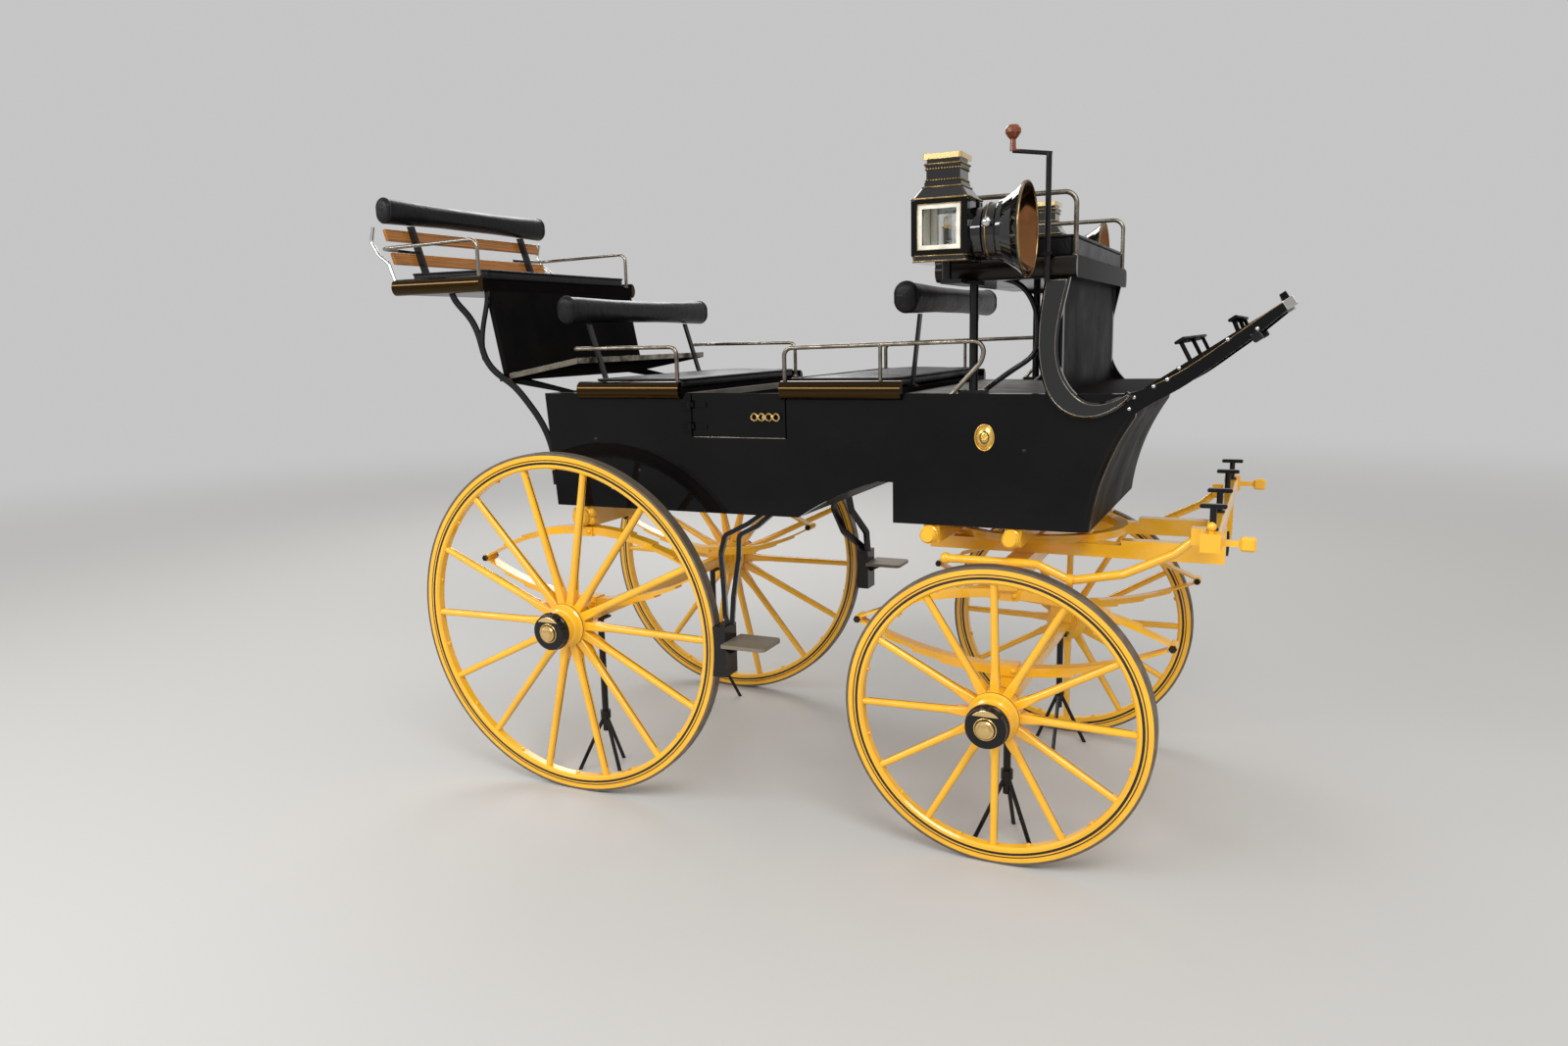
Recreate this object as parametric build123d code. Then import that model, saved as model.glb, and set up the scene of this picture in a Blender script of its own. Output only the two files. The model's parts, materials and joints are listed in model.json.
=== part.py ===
"""Horse drawn shooting carriage: a high hull with two benches back to back round a footwell, a raised seat behind,
a driver's box in front and a forecarriage that turns under the hull.

Lengths are in millimetres. X runs forward from the rear axle, Y to the carriage's left and Z up from the floor.
Everything is modelled from the rear axle and moved at the end, so that the origin is on the floor under the middle.
"""

from build123d import *
from math import atan2, cos, degrees, hypot, radians, sin, sqrt, tan
import os

# Running gear
wheelbase = 1512
camber = 2.1
running_gap = 0.3
tyre_width = 38
tyre_thickness = 8
felloe_depth = 46
felloe_bevel = 6
nave_radius = 78
nave_inside = 100
nave_outside = 70
hub_cap_length = 42
axle_arm_radius = 24
axle_bed = 44
dish = 24
spring_width = 45
leaf_thickness = 7
leaves = 4
spring_eye_radius = 13

# One row each axle: name, x of the axle, tyre's diameter, y of the rim's middle, number of spokes and their width,
# y of the spring, half its length, height between its clamps, height of the block below it
axles = [
    dict(name="rear", x=0, tyre=1220, rim_y=641, spokes=14, spoke=30, spring_y=480, half=452, rise=290, block=12),
    dict(name="front", x=wheelbase, tyre=927, rim_y=612, spokes=12, spoke=28, spring_y=450, half=482, rise=270, block=60),
]

# Forecarriage
bolster_height = 70
bolster_width = 70
futchell_y = 215
futchell_width = 46
futchell_height = 40
ring_radius = 270
ring_width = 34
ring_thickness = 12
kingpin_radius = 15
transom_height = 55.5
transom_width = 50
transom_overhang = 40
splinter_reach = 576
splinter_half_length = 620
splinter_height = 42
splinter_depth = 44
splinter_lift = 62
pole_socket_radius = 32
pole_socket_length = 80

# Hull
hull_half_width = 490
hull_side = 25
skin = 20
hull_depth = 400
hull_tail = 145
tail_rake = 30
rear_bar_height = 71.4
nose_reach = 240
nose_sweep = 118
nose_rounding = 20
arch_setback = 354
arch_length = 323
arch_height = 127
arch_flat = 50

# Side doors and footwell
door_length = 350
door_height = 146
door_gap = 5
footwell_margin = 7
hinge_pin_radius = 4
hinge_stand = 10

# Driver's box
riser_reach = 155
riser_depth = 46
riser_panel = 24
wing_thickness = 22
wing_easing = 7
neck_height = 325
box_seat_height = 60
box_seat_depth = 405
box_seat_overhang = 38
footboard_setback = 115
footboard_run = 383
footboard_rise = 252
footboard_plank = 18

# Benches, raised seat, rolls and rails
bench_depth = 405
bench_board = 15
raised_seat_lift = 365
raised_seat_gap = 245
raised_seat_depth = 410
moulding_radius = 30
moulding_proud = 26
roll_height = 96
roll_depth = 78
back_height = 273
rail_radius = 7
rail_height = 138
box_rail_height = 175
groom_half_width = 456

# Lamps, brake and steps
lamp_half = 72
lamp_outset = 165
lamp_setback = 289
lamp_lift = 77
lamp_wall = 7
bell_radius = 126
crank_reach = 100
brake_gap = 8
brake_block = 42
step_width = 140
step_depth = 150

# Museum stands under the axles
stand_y = 430
stand_post_radius = 12
stand_leg_radius = 7
stand_foot_reach = 105


def box(x0, x1, y0, y1, z0, z1):
    """A block between two corners."""
    return Pos((x0 + x1) / 2, (y0 + y1) / 2, (z0 + z1) / 2) * Box(x1 - x0, y1 - y0, z1 - z0)


def face(*points):
    """A flat outline in X and Z with straight sides."""
    return Plane.XZ * make_face(Polyline(*points, close=True))


def slab(outline, y0, y1):
    """An outline in X and Z made as thick as from y0 to y1."""
    return Pos(0, y1, 0) * extrude(outline, y1 - y0, dir=(0, -1, 0))


def mirrored(shape):
    """The same piece on the other side of the carriage."""
    return mirror(shape, about=Plane.XZ)


def pair(shape):
    """Both sides of the carriage as one node."""
    return Compound(children=[shape, mirrored(shape)])


def upright_cylinder(x, y, z0, z1, radius):
    """A round post between two heights."""
    return Pos(x, y, z0) * Cylinder(radius, z1 - z0, align=(Align.CENTER, Align.CENTER, Align.MIN))


def rod(a, b, radius):
    """A straight round bar between two points."""
    a, b = Vector(*a), Vector(*b)
    low = (Align.CENTER, Align.CENTER, Align.MIN)
    return Plane(origin=a, z_dir=b - a) * Cylinder(radius, (b - a).length, align=low)


def bent_bar(points, bend, section):
    """A bar of any section swept along straight runs joined by round bends."""
    path = FilletPolyline(*points, radius=bend)
    return sweep(Plane(origin=path @ 0, z_dir=path % 0) * section, path=path)


def tube(points, bend, radius):
    """A bent round bar."""
    return bent_bar(points, bend, Circle(radius))


def flat_iron(route, y, bend, width, thickness):
    """A flat iron bent in a plane of constant Y, with its flat side towards the plane."""
    return bent_bar([(x, y, z) for x, z in route], bend, Rectangle(width, thickness))


def turned(profile):
    """A turned piece from points given as radius and distance along its axis."""
    return revolve(Plane.XZ * make_face(Polyline(*profile, close=True)), Axis.Z)


# Wheels, in a frame with Z along the axle arm, pointing out, and the rim's middle at Z = 0
def axle_height(a):
    """Height of the rim's centre when the leaning tyre stands on the floor."""
    lean = radians(camber)
    return a["tyre"] / 2 * cos(lean) + tyre_width / 2 * sin(lean)


def in_wheel(a, shape):
    """Puts a shape from the wheel's frame on the carriage's left side."""
    return Pos(a["x"], a["rim_y"], axle_height(a)) * Rot(-(90 + camber), 0, 0) * shape


def tyre(a):
    radius = a["tyre"] / 2
    return Cylinder(radius, tyre_width) - Cylinder(radius - tyre_thickness, tyre_width + 2)


def felloes(a):
    """Wooden rim with bevelled inner edges."""
    outer = a["tyre"] / 2 - tyre_thickness
    inner = outer - felloe_depth
    half = tyre_width / 2
    return turned(
        [
            (outer, -half),
            (outer, half),
            (inner + felloe_bevel, half),
            (inner, half - felloe_bevel),
            (inner, felloe_bevel - half),
            (inner + felloe_bevel, -half),
        ]
    )


def spoke(a):
    """Broad square foot in the nave, shaved to a slim oval, dished back from the rim to the nave."""
    foot_r = nave_radius - 10
    rim_r = a["tyre"] / 2 - tyre_thickness - felloe_depth + felloe_bevel
    width = a["spoke"]
    # One row a section: how far along the spoke, width across it, depth along the axle arm, rounding
    sections = [(0, 1.0, 1.25, 0.12), (0.1, 1.0, 1.2, 0.2), (0.22, 0.84, 1.1, 0.4), (1, 0.76, 0.86, 0.36)]
    profiles = []
    for along, across, deep, rounding in sections:
        r = foot_r + along * (rim_r - foot_r)
        across, deep = across * width, deep * width
        plane = Plane(origin=(r, 0, -dish * (1 - along)), x_dir=(0, 1, 0), z_dir=(1, 0, 0))
        profiles.append(plane * RectangleRounded(across, deep, rounding * width))
    return loft(profiles, ruled=True)


def nave():
    """Turned nave with a raised spoke seat and a bead at each end, bored for the axle arm."""
    bore = axle_arm_radius + running_gap
    seat = -dish
    return turned(
        [
            (bore, -nave_inside),
            (nave_radius - 28, -nave_inside),
            (nave_radius - 24, -nave_inside + 4),
            (nave_radius - 24, -nave_inside + 14),
            (nave_radius - 20, -nave_inside + 18),
            (nave_radius - 5, seat - 40),
            (nave_radius, seat - 34),
            (nave_radius, seat + 34),
            (nave_radius - 5, seat + 40),
            (nave_radius - 12, seat + 56),
            (nave_radius - 18, seat + 60),
            (nave_radius - 18, nave_outside - 12),
            (nave_radius - 12, nave_outside - 8),
            (nave_radius - 12, nave_outside),
            (bore, nave_outside),
        ]
    )


def wheel(a):
    """Felloes, spokes and nave in one piece."""
    one = spoke(a)
    return felloes(a) + [Rot(0, 0, 360 * i / a["spokes"]) * one for i in range(a["spokes"])] + nave()


def hub_cap():
    """Turned hub box with a collar, a shoulder and a stepped nose."""
    start = nave_outside
    end = nave_outside + hub_cap_length
    wide = nave_radius - 12
    return turned(
        [
            (0, start),
            (wide, start),
            (wide, start + 8),
            (wide - 3, start + 11),
            (wide - 5, end - 14),
            (wide - 11, end - 11),
            (nave_radius - 50, end - 11),
            (nave_radius - 50, end - 3),
            (nave_radius - 53, end),
            (0, end),
        ]
    )


def bed_bottom(a):
    """Underside of the axle bed, which carries on from the leaning arms."""
    return axle_height(a) + (nave_inside + 18) * sin(radians(camber)) - axle_bed / 2


def bed_top(a):
    return bed_bottom(a) + axle_bed


def axle(a):
    """Square bed with bevelled edges, a collar and a round arm in each nave, leaning by the camber."""
    low = (Align.CENTER, Align.CENTER, Align.MIN)
    arm = Pos(0, 0, -nave_inside - 24) * Cylinder(axle_arm_radius, nave_inside + nave_outside + 19, align=low)
    collar = Pos(0, 0, -nave_inside - 18) * Cylinder(axle_arm_radius * 1.9, 18 - running_gap, align=low)
    left = in_wheel(a, arm + collar)
    reach = a["rim_y"] - nave_inside - 18
    bed = box(a["x"] - axle_bed / 2, a["x"] + axle_bed / 2, -reach, reach, bed_bottom(a), bed_top(a))
    return chamfer(bed.edges().filter_by(Axis.Y), 5) + left + mirrored(left)


# Springs
def leaf_band(half_length, height):
    """One leaf seen from the side: a thin arc with its ends at Z = 0 and its inside at Z = height in the middle."""
    radius = (half_length**2 + height**2) / (2 * height)
    half_angle = atan2(half_length, radius - height)

    def on(r, angle):
        return (r * sin(angle), height - radius + r * cos(angle))

    far = radius + leaf_thickness
    inner = ThreePointArc(on(radius, -half_angle), on(radius, 0), on(radius, half_angle))
    outer = ThreePointArc(on(far, half_angle), on(far, 0), on(far, -half_angle))
    return Plane.XZ * make_face(inner + outer + Line(inner @ 1, outer @ 0) + Line(outer @ 1, inner @ 0))


def half_spring(half_length, height):
    """Main leaf, and shorter leaves stacked on its outside."""
    main_height = height - leaves * leaf_thickness
    main_radius = (half_length**2 + main_height**2) / (2 * main_height)
    shape = leaf_band(half_length, main_height)
    for i in range(1, leaves):
        reach = half_length * (1 - 0.19 * i)
        radius = main_radius + i * leaf_thickness
        part_height = radius - sqrt(radius**2 - reach**2)
        shape += Pos(0, 0, main_height + i * leaf_thickness - part_height) * leaf_band(reach, part_height)
    return slab(shape, -spring_width / 2, spring_width / 2)


def spring_middle(a):
    return bed_top(a) + a["block"] + a["rise"] / 2


def spring_top(a):
    return spring_middle(a) + a["rise"] / 2


def elliptic_spring(a):
    """Full elliptic spring with eyes, a nut on each eye bolt and two clamps, seated on the axle's block."""
    height = a["rise"] / 2
    half_width = spring_width / 2
    upper = half_spring(a["half"], height)
    both = upper + mirror(upper, about=Plane.XY)
    for end in (-1, 1):
        across = Pos(end * a["half"], 0, 0) * Rot(90, 0, 0)
        both += across * Cylinder(spring_eye_radius, spring_width + 4)
        both += across * Rot(0, 0, 30) * extrude(RegularPolygon(spring_eye_radius * 0.8, 6), half_width + 11, both=True)
    clamp = box(-38, 38, -half_width - 6, half_width + 6, height - 34, height)
    both += clamp + mirror(clamp, about=Plane.XY)
    block = box(-38, 38, -half_width, half_width, -height - a["block"], -height)
    return Pos(a["x"], a["spring_y"], spring_middle(a)) * (both + block)


# Heights worked up from the front springs, and the rear springs' rise that makes the hull level
rear, front = axles
bolster_bottom = spring_top(front)
futchell_bottom = bolster_bottom + bolster_height
lower_ring_bottom = futchell_bottom + futchell_height
upper_ring_bottom = lower_ring_bottom + ring_thickness + running_gap
transom_bottom = upper_ring_bottom + ring_thickness
hull_bottom = transom_bottom + transom_height
hull_top = hull_bottom + hull_depth
rear["rise"] = hull_bottom - rear_bar_height - bed_top(rear) - rear["block"]
seat_bottom = hull_top + neck_height
box_seat_top = seat_bottom + box_seat_height
raised_seat_bottom = hull_top + raised_seat_lift

# Places along the carriage
hull_rear = -hull_tail
hull_front = wheelbase + nose_reach
arch_front = wheelbase - arch_setback
arch_rear = arch_front - arch_length
riser_front = wheelbase + riser_reach
footboard_start = hull_front + footboard_setback
footboard_tip = footboard_start + footboard_run
splinter_x = wheelbase + splinter_reach
splinter_bottom = lower_ring_bottom + splinter_lift + ring_thickness
door_rear = 0.4135 * wheelbase - door_length / 2
door_front = door_rear + door_length
door_sill = hull_top - door_height
inside = hull_half_width - hull_side


def turned_bar(x, bottom, top, width):
    """A square cross bar under the hull with a turned knob on each end."""
    reach = hull_half_width - 10
    radius = (top - bottom) / 2
    end = transom_overhang
    bar = box(x - width / 2, x + width / 2, -reach, reach, bottom, top)
    knob = turned(
        [
            (0, 0),
            (radius - 6, 0),
            (radius - 6, 0.2 * end),
            (radius, 0.35 * end),
            (radius, 0.6 * end),
            (radius - 5, 0.7 * end),
            (radius - 2, 0.85 * end),
            (radius - 2, end),
            (radius - 9, end + 10),
            (0, end + 10),
        ]
    )
    left = Pos(x, reach, (bottom + top) / 2) * Rot(-90, 0, 0) * knob
    return bar + left + mirrored(left)


def rear_bar():
    """The bar on the rear springs, with a cluster of carved lobes round each end."""
    z0, z1 = spring_top(rear), hull_bottom
    bar = turned_bar(0, z0, z1, 60)
    middle = (z0 + z1) / 2
    for x, z in ((-31, 13), (31, 13), (-31, -15), (31, -15)):
        for side in (-1, 1):
            bar += Pos(x, side * (hull_half_width + 4), middle + z) * Sphere(17)
    return bar


def front_frame():
    """Two cross bars and two lengthwise bars, which hold the upper ring to the hull."""
    x0, x1 = wheelbase - 232, wheelbase + 20
    frame = turned_bar(x0, transom_bottom, hull_bottom, transom_width)
    frame += turned_bar(x1, transom_bottom, hull_bottom, transom_width)
    for y in (-futchell_y, futchell_y):
        frame += box(x0, hull_front - 30, y - 22, y + 22, transom_bottom + 8, hull_bottom)
    return frame


# Hull
def hull_outline():
    """The hull's side below the deck: raked tail, flat bottom, arch for the turning wheels and a swept nose."""
    tail = Line((hull_rear, hull_top), (hull_rear + tail_rake, hull_bottom))
    floor = Line(tail @ 1, (arch_rear, hull_bottom))
    arch_top = hull_bottom + arch_height
    arch_peak = arch_front - arch_flat
    bulge = (arch_rear + 0.5 * (arch_peak - arch_rear), hull_bottom + 0.6 * arch_height)
    arch = ThreePointArc(floor @ 1, bulge, (arch_peak, arch_top))
    step = Polyline(arch @ 1, (arch_front, arch_top), (arch_front, hull_bottom), (hull_front, hull_bottom))
    nose_mid = (hull_front + 0.36 * nose_sweep, hull_bottom + 0.46 * hull_depth)
    nose = ThreePointArc(step @ 1, nose_mid, (hull_front + nose_sweep, hull_bottom + 0.83 * hull_depth))
    top = Polyline(nose @ 1, (footboard_start + 12, hull_top - 8), (footboard_start, hull_top), (hull_rear, hull_top))
    return Plane.XZ * make_face(tail + floor + arch + step + nose + top)


def neck_outline():
    """The riser's side, a plain board behind the wing."""
    back = riser_front - riser_depth
    low = hull_top - 10
    return face((back, low), (riser_front, low), (riser_front, seat_bottom), (back, seat_bottom))


def beam_outline():
    """The side beam of the footboard: thick at the hull, slender at the tip."""
    tip_z = hull_top + footboard_rise
    top = Spline([(footboard_start - 45, hull_top), (footboard_start + 30, hull_top + 16), (footboard_tip, tip_z)],
                 tangents=[(1, 0), (footboard_run, footboard_rise)])
    nose = Polyline(top @ 1, (footboard_tip + 12, tip_z - 16))
    # Columns: how far along the slope, depth below the slope's line
    under_points = [nose @ 1]
    for along, drop in ((0.96, 30), (0.78, 45), (0.54, 56), (0.3, 63), (0.08, 56), (-0.04, 64)):
        under_points.append((footboard_start + along * footboard_run, hull_top + along * footboard_rise - drop))
    under = Spline(under_points)
    return Plane.XZ * make_face(top + nose + under + Line(under @ 1, top @ 0))


def wing_outline():
    """The swan-necked panel on the riser's side, with its hooked toe."""
    # Columns: forward of the riser's front, height above the deck
    back_edge = [(-49, neck_height), (-67, 0.54 * neck_height), (-61, 76), (-3, -43), (60, -69), (119, -61), (199, -4)]
    front_edge = [(183, 7), (131, -18), (78, -21), (37, 7), (3, 62), (-6, 0.58 * neck_height), (21, neck_height)]
    back = Spline([(riser_front + x, hull_top + z) for x, z in back_edge])
    fore = Spline([(riser_front + x, hull_top + z) for x, z in front_edge])
    return Plane.XZ * make_face(back + fore + Line(back @ 1, fore @ 0) + Line(fore @ 1, back @ 0))


def hull_side_left():
    """Side plank with its nose edge rounded, riser's side and footboard's beam, less the door's opening."""
    plank = slab(hull_outline(), inside, hull_half_width)
    nose_edge = plank.edges().filter_by(GeomType.CIRCLE).group_by(Axis.X)[-1].sort_by(Axis.Y)[-1]
    plank = fillet(nose_edge, nose_rounding)
    neck = slab(neck_outline(), inside, hull_half_width)
    beam = slab(beam_outline(), inside, hull_half_width)
    opening = box(door_rear, door_front, 0, hull_half_width + 1, door_sill, hull_top + 1)
    return plank + neck + beam - opening + hinge_pins_left()


# Shell of the hull between its sides: deck, floor and the panels at its ends and round the footwell
def cross_panel(x):
    return box(x, x + skin, -inside, inside, hull_bottom + skin, hull_top - skin)


shell = slab(hull_outline() - offset(hull_outline(), -skin, kind=Kind.INTERSECTION), -inside, inside)
footwell_rear = door_rear - footwell_margin
footwell_front = door_front + footwell_margin
rear_edge_x, front_edge_x = hull_rear - 10, footboard_start + 40
between = (-inside, inside, hull_bottom + skin, hull_top - skin)
tail_zone = box(rear_edge_x, hull_rear + tail_rake + skin + 6, *between)
nose_zone = box(hull_front - skin, front_edge_x, *between)
hull_deck = shell & box(rear_edge_x, front_edge_x, -inside, inside, hull_top - skin, hull_top + 1)
hull_deck -= box(footwell_rear, footwell_front, -inside, inside, hull_top - skin - 1, hull_top + 1)
hull_floor = (shell & box(rear_edge_x, front_edge_x, -inside, inside, hull_bottom - 1, hull_top - skin)) - tail_zone
hull_floor -= nose_zone
end_panels = [shell & tail_zone, shell & nose_zone]
hull_panels = Compound(children=[*end_panels, cross_panel(footwell_rear - skin), cross_panel(footwell_front)])

# Doors, hinged at their rear edge on pins just outside the hull
hinge_y = hull_half_width + hinge_stand
hinge_heights = [door_sill + 0.25 * door_height, hull_top - 0.25 * door_height]
knuckle_height = 16
knuckle_radius = 2 * hinge_pin_radius


def door_left():
    """A panel with a gap all round, two hinge knuckles on straps and a handle of four loops."""
    y = hull_half_width
    door = box(door_rear + door_gap, door_front - door_gap, inside, y, door_sill + door_gap, hull_top)
    for z in hinge_heights:
        z0, z1 = z - knuckle_height / 2, z + knuckle_height / 2
        door += box(door_rear + 8, door_rear + 60, y, y + 4, z0, z1)
        door += box(door_rear + 3, door_rear + 14, y + 1, hinge_y + 1, z0, z1)
        door += upright_cylinder(door_rear, hinge_y, z0, z1, knuckle_radius)
        door -= upright_cylinder(door_rear, hinge_y, z0 - 1, z1 + 1, hinge_pin_radius + running_gap)
    handle = Pos(door_front - 72, y, hull_top - 76)
    loop = turned([(8, 0), (11, -3.5), (14, 0), (11, 3.5)])
    for x in (-39, -13, 13, 39):
        door += handle * Pos(x, 11, 0) * Rot(90, 0, 0) * loop
    return door + handle * Pos(0, 7, 0) * Rot(90, 0, 0) * Cylinder(8, 18)


def hinge_pins_left():
    """Pins with a foot above and below each knuckle, fixed to the hull's side."""
    pieces = []
    foot = 6
    for z in hinge_heights:
        reach = knuckle_height / 2 + running_gap
        pieces.append(upright_cylinder(door_rear, hinge_y, z - reach - foot, z + reach + foot, hinge_pin_radius))
        for z0 in (z + reach, z - reach - foot):
            pieces.append(box(door_rear - 30, door_rear + 6, hull_half_width, hinge_y + foot, z0, z0 + foot))
    return pieces


# Driver's riser and footboard
driver_riser = box(riser_front - riser_panel, riser_front, -inside, inside, hull_top, seat_bottom)
wing_left = slab(wing_outline(), hull_half_width, hull_half_width + wing_thickness)
wing_left = chamfer(wing_left.faces().sort_by(Axis.Y)[-1].edges(), wing_easing)


def footboard():
    """Planks between the side beams with a toe board and two foot rails on short legs, all on one slope."""
    run = hypot(footboard_run, footboard_rise)
    start = 30
    boards = box(start, run - 4, -inside, inside, -footboard_plank, 0) + box(run - 22, run - 4, -inside, inside, 0, 22)
    # Columns: distance up the slope, height above the planks, depth
    for along, lift, deep in ((0.37 * run, 56, 30), (0.68 * run, 30, 26)):
        rail = box(along - deep / 2, along + deep / 2, -inside + 24, inside - 24, lift, lift + 9)
        boards += fillet(rail.edges().filter_by(Axis.Y), 4)
        for y in (-inside + 40, 0, inside - 40):
            boards += rod((along - 6, y, -1), (along, y, lift + 1), 6)
    return Pos(footboard_start, 0, hull_top) * Rot(0, -degrees(atan2(footboard_rise, footboard_run)), 0) * boards


# Seats: name, side of its back, rear and front of the board, its bottom and thickness, thickness of the pad,
# height of the end mouldings above the board's bottom
raised_front = hull_rear - raised_seat_gap
third_front = door_rear - 35
second_rear = door_front - 15
box_front = riser_front + box_seat_overhang
seats = [
    dict(name="rear", back="rear", x0=raised_front - raised_seat_depth, x1=raised_front,
         bottom=raised_seat_bottom, board=40, pad=40, end_z=26),
    dict(name="third", back="rear", x0=third_front - bench_depth, x1=third_front,
         bottom=hull_top, board=bench_board, pad=34, end_z=10),
    dict(name="second", back="front", x0=second_rear, x1=second_rear + bench_depth,
         bottom=hull_top, board=bench_board, pad=34, end_z=10),
    dict(name="driver", back="rear", x0=box_front - box_seat_depth, x1=box_front,
         bottom=seat_bottom, board=box_seat_height, pad=62, end_z=30),
]
seat = {s["name"]: s for s in seats}
for s in seats:
    s["top"] = s["bottom"] + s["board"]

seat_y = hull_half_width
rail_y = seat_y - 8
pad_y = seat_y - 34


def moulding(x0, x1, y, z):
    """The rounded moulding along a seat's end, flat towards the seat, with its ends eased."""
    half = Ellipse(moulding_proud, moulding_radius) & Pos(moulding_proud, 0) * Rectangle(
        2 * moulding_proud, 4 * moulding_radius
    )
    return extrude(Plane(origin=(x0, y, z), x_dir=(0, 1, 0), z_dir=(1, 0, 0)) * half, x1 - x0)


def seat_frame(s):
    """A board with a rounded moulding along each end."""
    board = box(s["x0"], s["x1"], -seat_y, seat_y, s["bottom"], s["top"])
    cap = moulding(s["x0"], s["x1"], seat_y, s["bottom"] + s["end_z"])
    return board + cap + mirrored(cap)


def cushion(s):
    """The seat's pad, which stops short of what stands along the seat's back."""
    x0, x1 = (s["x0"] + 32, s["x1"] - 6) if s["back"] == "rear" else (s["x0"] + 6, s["x1"] - 32)
    pad = box(x0, x1, -pad_y, pad_y, s["top"] + running_gap, s["top"] + running_gap + s["pad"])
    return fillet(pad.edges().filter_by(Axis.Z), 24)


# Padded rolls: name, x of the middle, half length; each lies the same height above its seat's board
rolls = [
    dict(name="rear", x=seat["rear"]["x0"] - 58, half=seat_y - 12),
    dict(name="third", x=seat["third"]["x0"] - 54, half=seat_y - 2),
    dict(name="second", x=seat["second"]["x1"] + 10, half=seat_y + 4),
]
for r in rolls:
    r["z"] = seat[r["name"]]["top"] + back_height
    r["bottom"] = r["z"] - roll_height / 2
roll = {r["name"]: r for r in rolls}


def back_roll(r):
    """A long padded roll with rounded ends, slightly flatter than round."""
    across = Plane(origin=(r["x"], -r["half"], r["z"]), x_dir=(1, 0, 0), z_dir=(0, 1, 0))
    solid = extrude(across * RectangleRounded(roll_depth, roll_height, roll_depth / 2 - 4), 2 * r["half"])
    return fillet(solid.faces().filter_by(Axis.Y).edges(), 16)


def upright(foot, head, y, width, thickness):
    """A flat iron between two points in a plane of constant Y, cut level at both ends."""
    (x0, z0), (x1, z1) = foot, head
    lean = degrees(atan2(x1 - x0, z1 - z0))
    length = hypot(x1 - x0, z1 - z0)
    iron = Pos((x0 + x1) / 2, y, (z0 + z1) / 2) * Rot(0, lean, 0) * Box(thickness, width, length + 2 * thickness)
    room = 4 * width
    return iron & box(min(x0, x1) - room, max(x0, x1) + room, y - width, y + width, z0, z1)


def roll_irons():
    """Uprights with feet from the benches to the undersides of their rolls."""
    irons = []
    for name, side in (("third", 1), ("second", -1)):
        s, r = seat[name], roll[name]
        foot_x = s["x0"] + 16 if side > 0 else s["x1"] - 16
        y = 0.7 * seat_y
        foot = box(foot_x - 14, foot_x + 14, y - 15, y + 15, s["top"], s["top"] + 6)
        iron = foot + upright((foot_x, s["top"]), (r["x"], r["bottom"]), y, 22, 9)
        irons += [iron, mirrored(iron)]
    return irons


def lower_rails():
    """Hand rails of the two benches, one bent bar on each side of each bench."""
    third, second = seat["third"], seat["second"]
    z = third["top"] + rail_height
    back_x = roll["third"]["x"] + 22
    front_x = third["x1"] - 18
    short = tube([(back_x, 0.7 * seat_y + 16, z), (back_x, rail_y, z), (front_x, rail_y, z), (front_x, rail_y, third["top"])],
                 26, rail_radius)
    z -= 10
    start_x = second["x0"] + 8
    bow_x = second["x1"] + 256
    route = [(start_x, second["top"]), (start_x, z), (bow_x, z + 12), (bow_x - 14, z - 50), (bow_x - 130, hull_top - 30)]
    long = tube([(x, rail_y, height) for x, height in route], [26, 32, 60], rail_radius)
    long -= box(bow_x - 170, bow_x + 60, rail_y - 40, rail_y + 40, hull_top - 60, hull_top)
    long += upright_cylinder(second["x1"] - 73, rail_y, second["top"], z + 6, rail_radius - 1)
    return [short, mirrored(short), long, mirrored(long)]


def driver_rail():
    """Rail round the back and ends of the driver's seat."""
    s = seat["driver"]
    z = s["top"] + box_rail_height
    y = seat_y - 24
    front_x, back_x = s["x1"] - 11, s["x0"] + 14
    route = [(front_x, -y, s["top"]), (front_x, -y, z), (back_x, -y, z)]
    rail = tube([*route, *((x, -side_y, height) for x, side_y, height in reversed(route))], 34, rail_radius)
    for side in (-1, 1):
        rail += upright_cylinder(back_x, side * (y - 60), s["top"], z, rail_radius - 1)
    return rail


# Raised seat behind: panel, sloping footboard, stays, back frame
groom_foot = (hull_rear - 185, hull_top + 60)


def groom_panel():
    """Board that closes the front of the raised seat, leaning down to the footboard."""
    thick = 20
    head = (raised_front, raised_seat_bottom)
    outline = face(head, (head[0] - thick, head[1]), (groom_foot[0] - thick, groom_foot[1]), groom_foot)
    return slab(outline, -groom_half_width, groom_half_width)


def groom_footboard():
    """Sloping board for the feet, from the panel's foot up towards the third seat's back, on two cleats."""
    x0, z0 = groom_foot[0] - 40, groom_foot[1]
    x1, z1 = seat["third"]["x0"] - 34, z0 + 60
    thick = 20
    board = slab(face((x0, z0 - thick), (x1, z1 - thick), (x1, z1), (x0, z0)), -groom_half_width, groom_half_width)
    at = 0.2
    cleat_head = (x0 + at * (x1 - x0), z0 - thick + at * (z1 - z0))
    cleat = face((x0, z0 - thick), cleat_head, (hull_rear + 85, hull_top), (hull_rear + 45, hull_top))
    return board + slab(cleat, 400, 440) + slab(cleat, -440, -400)


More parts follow.
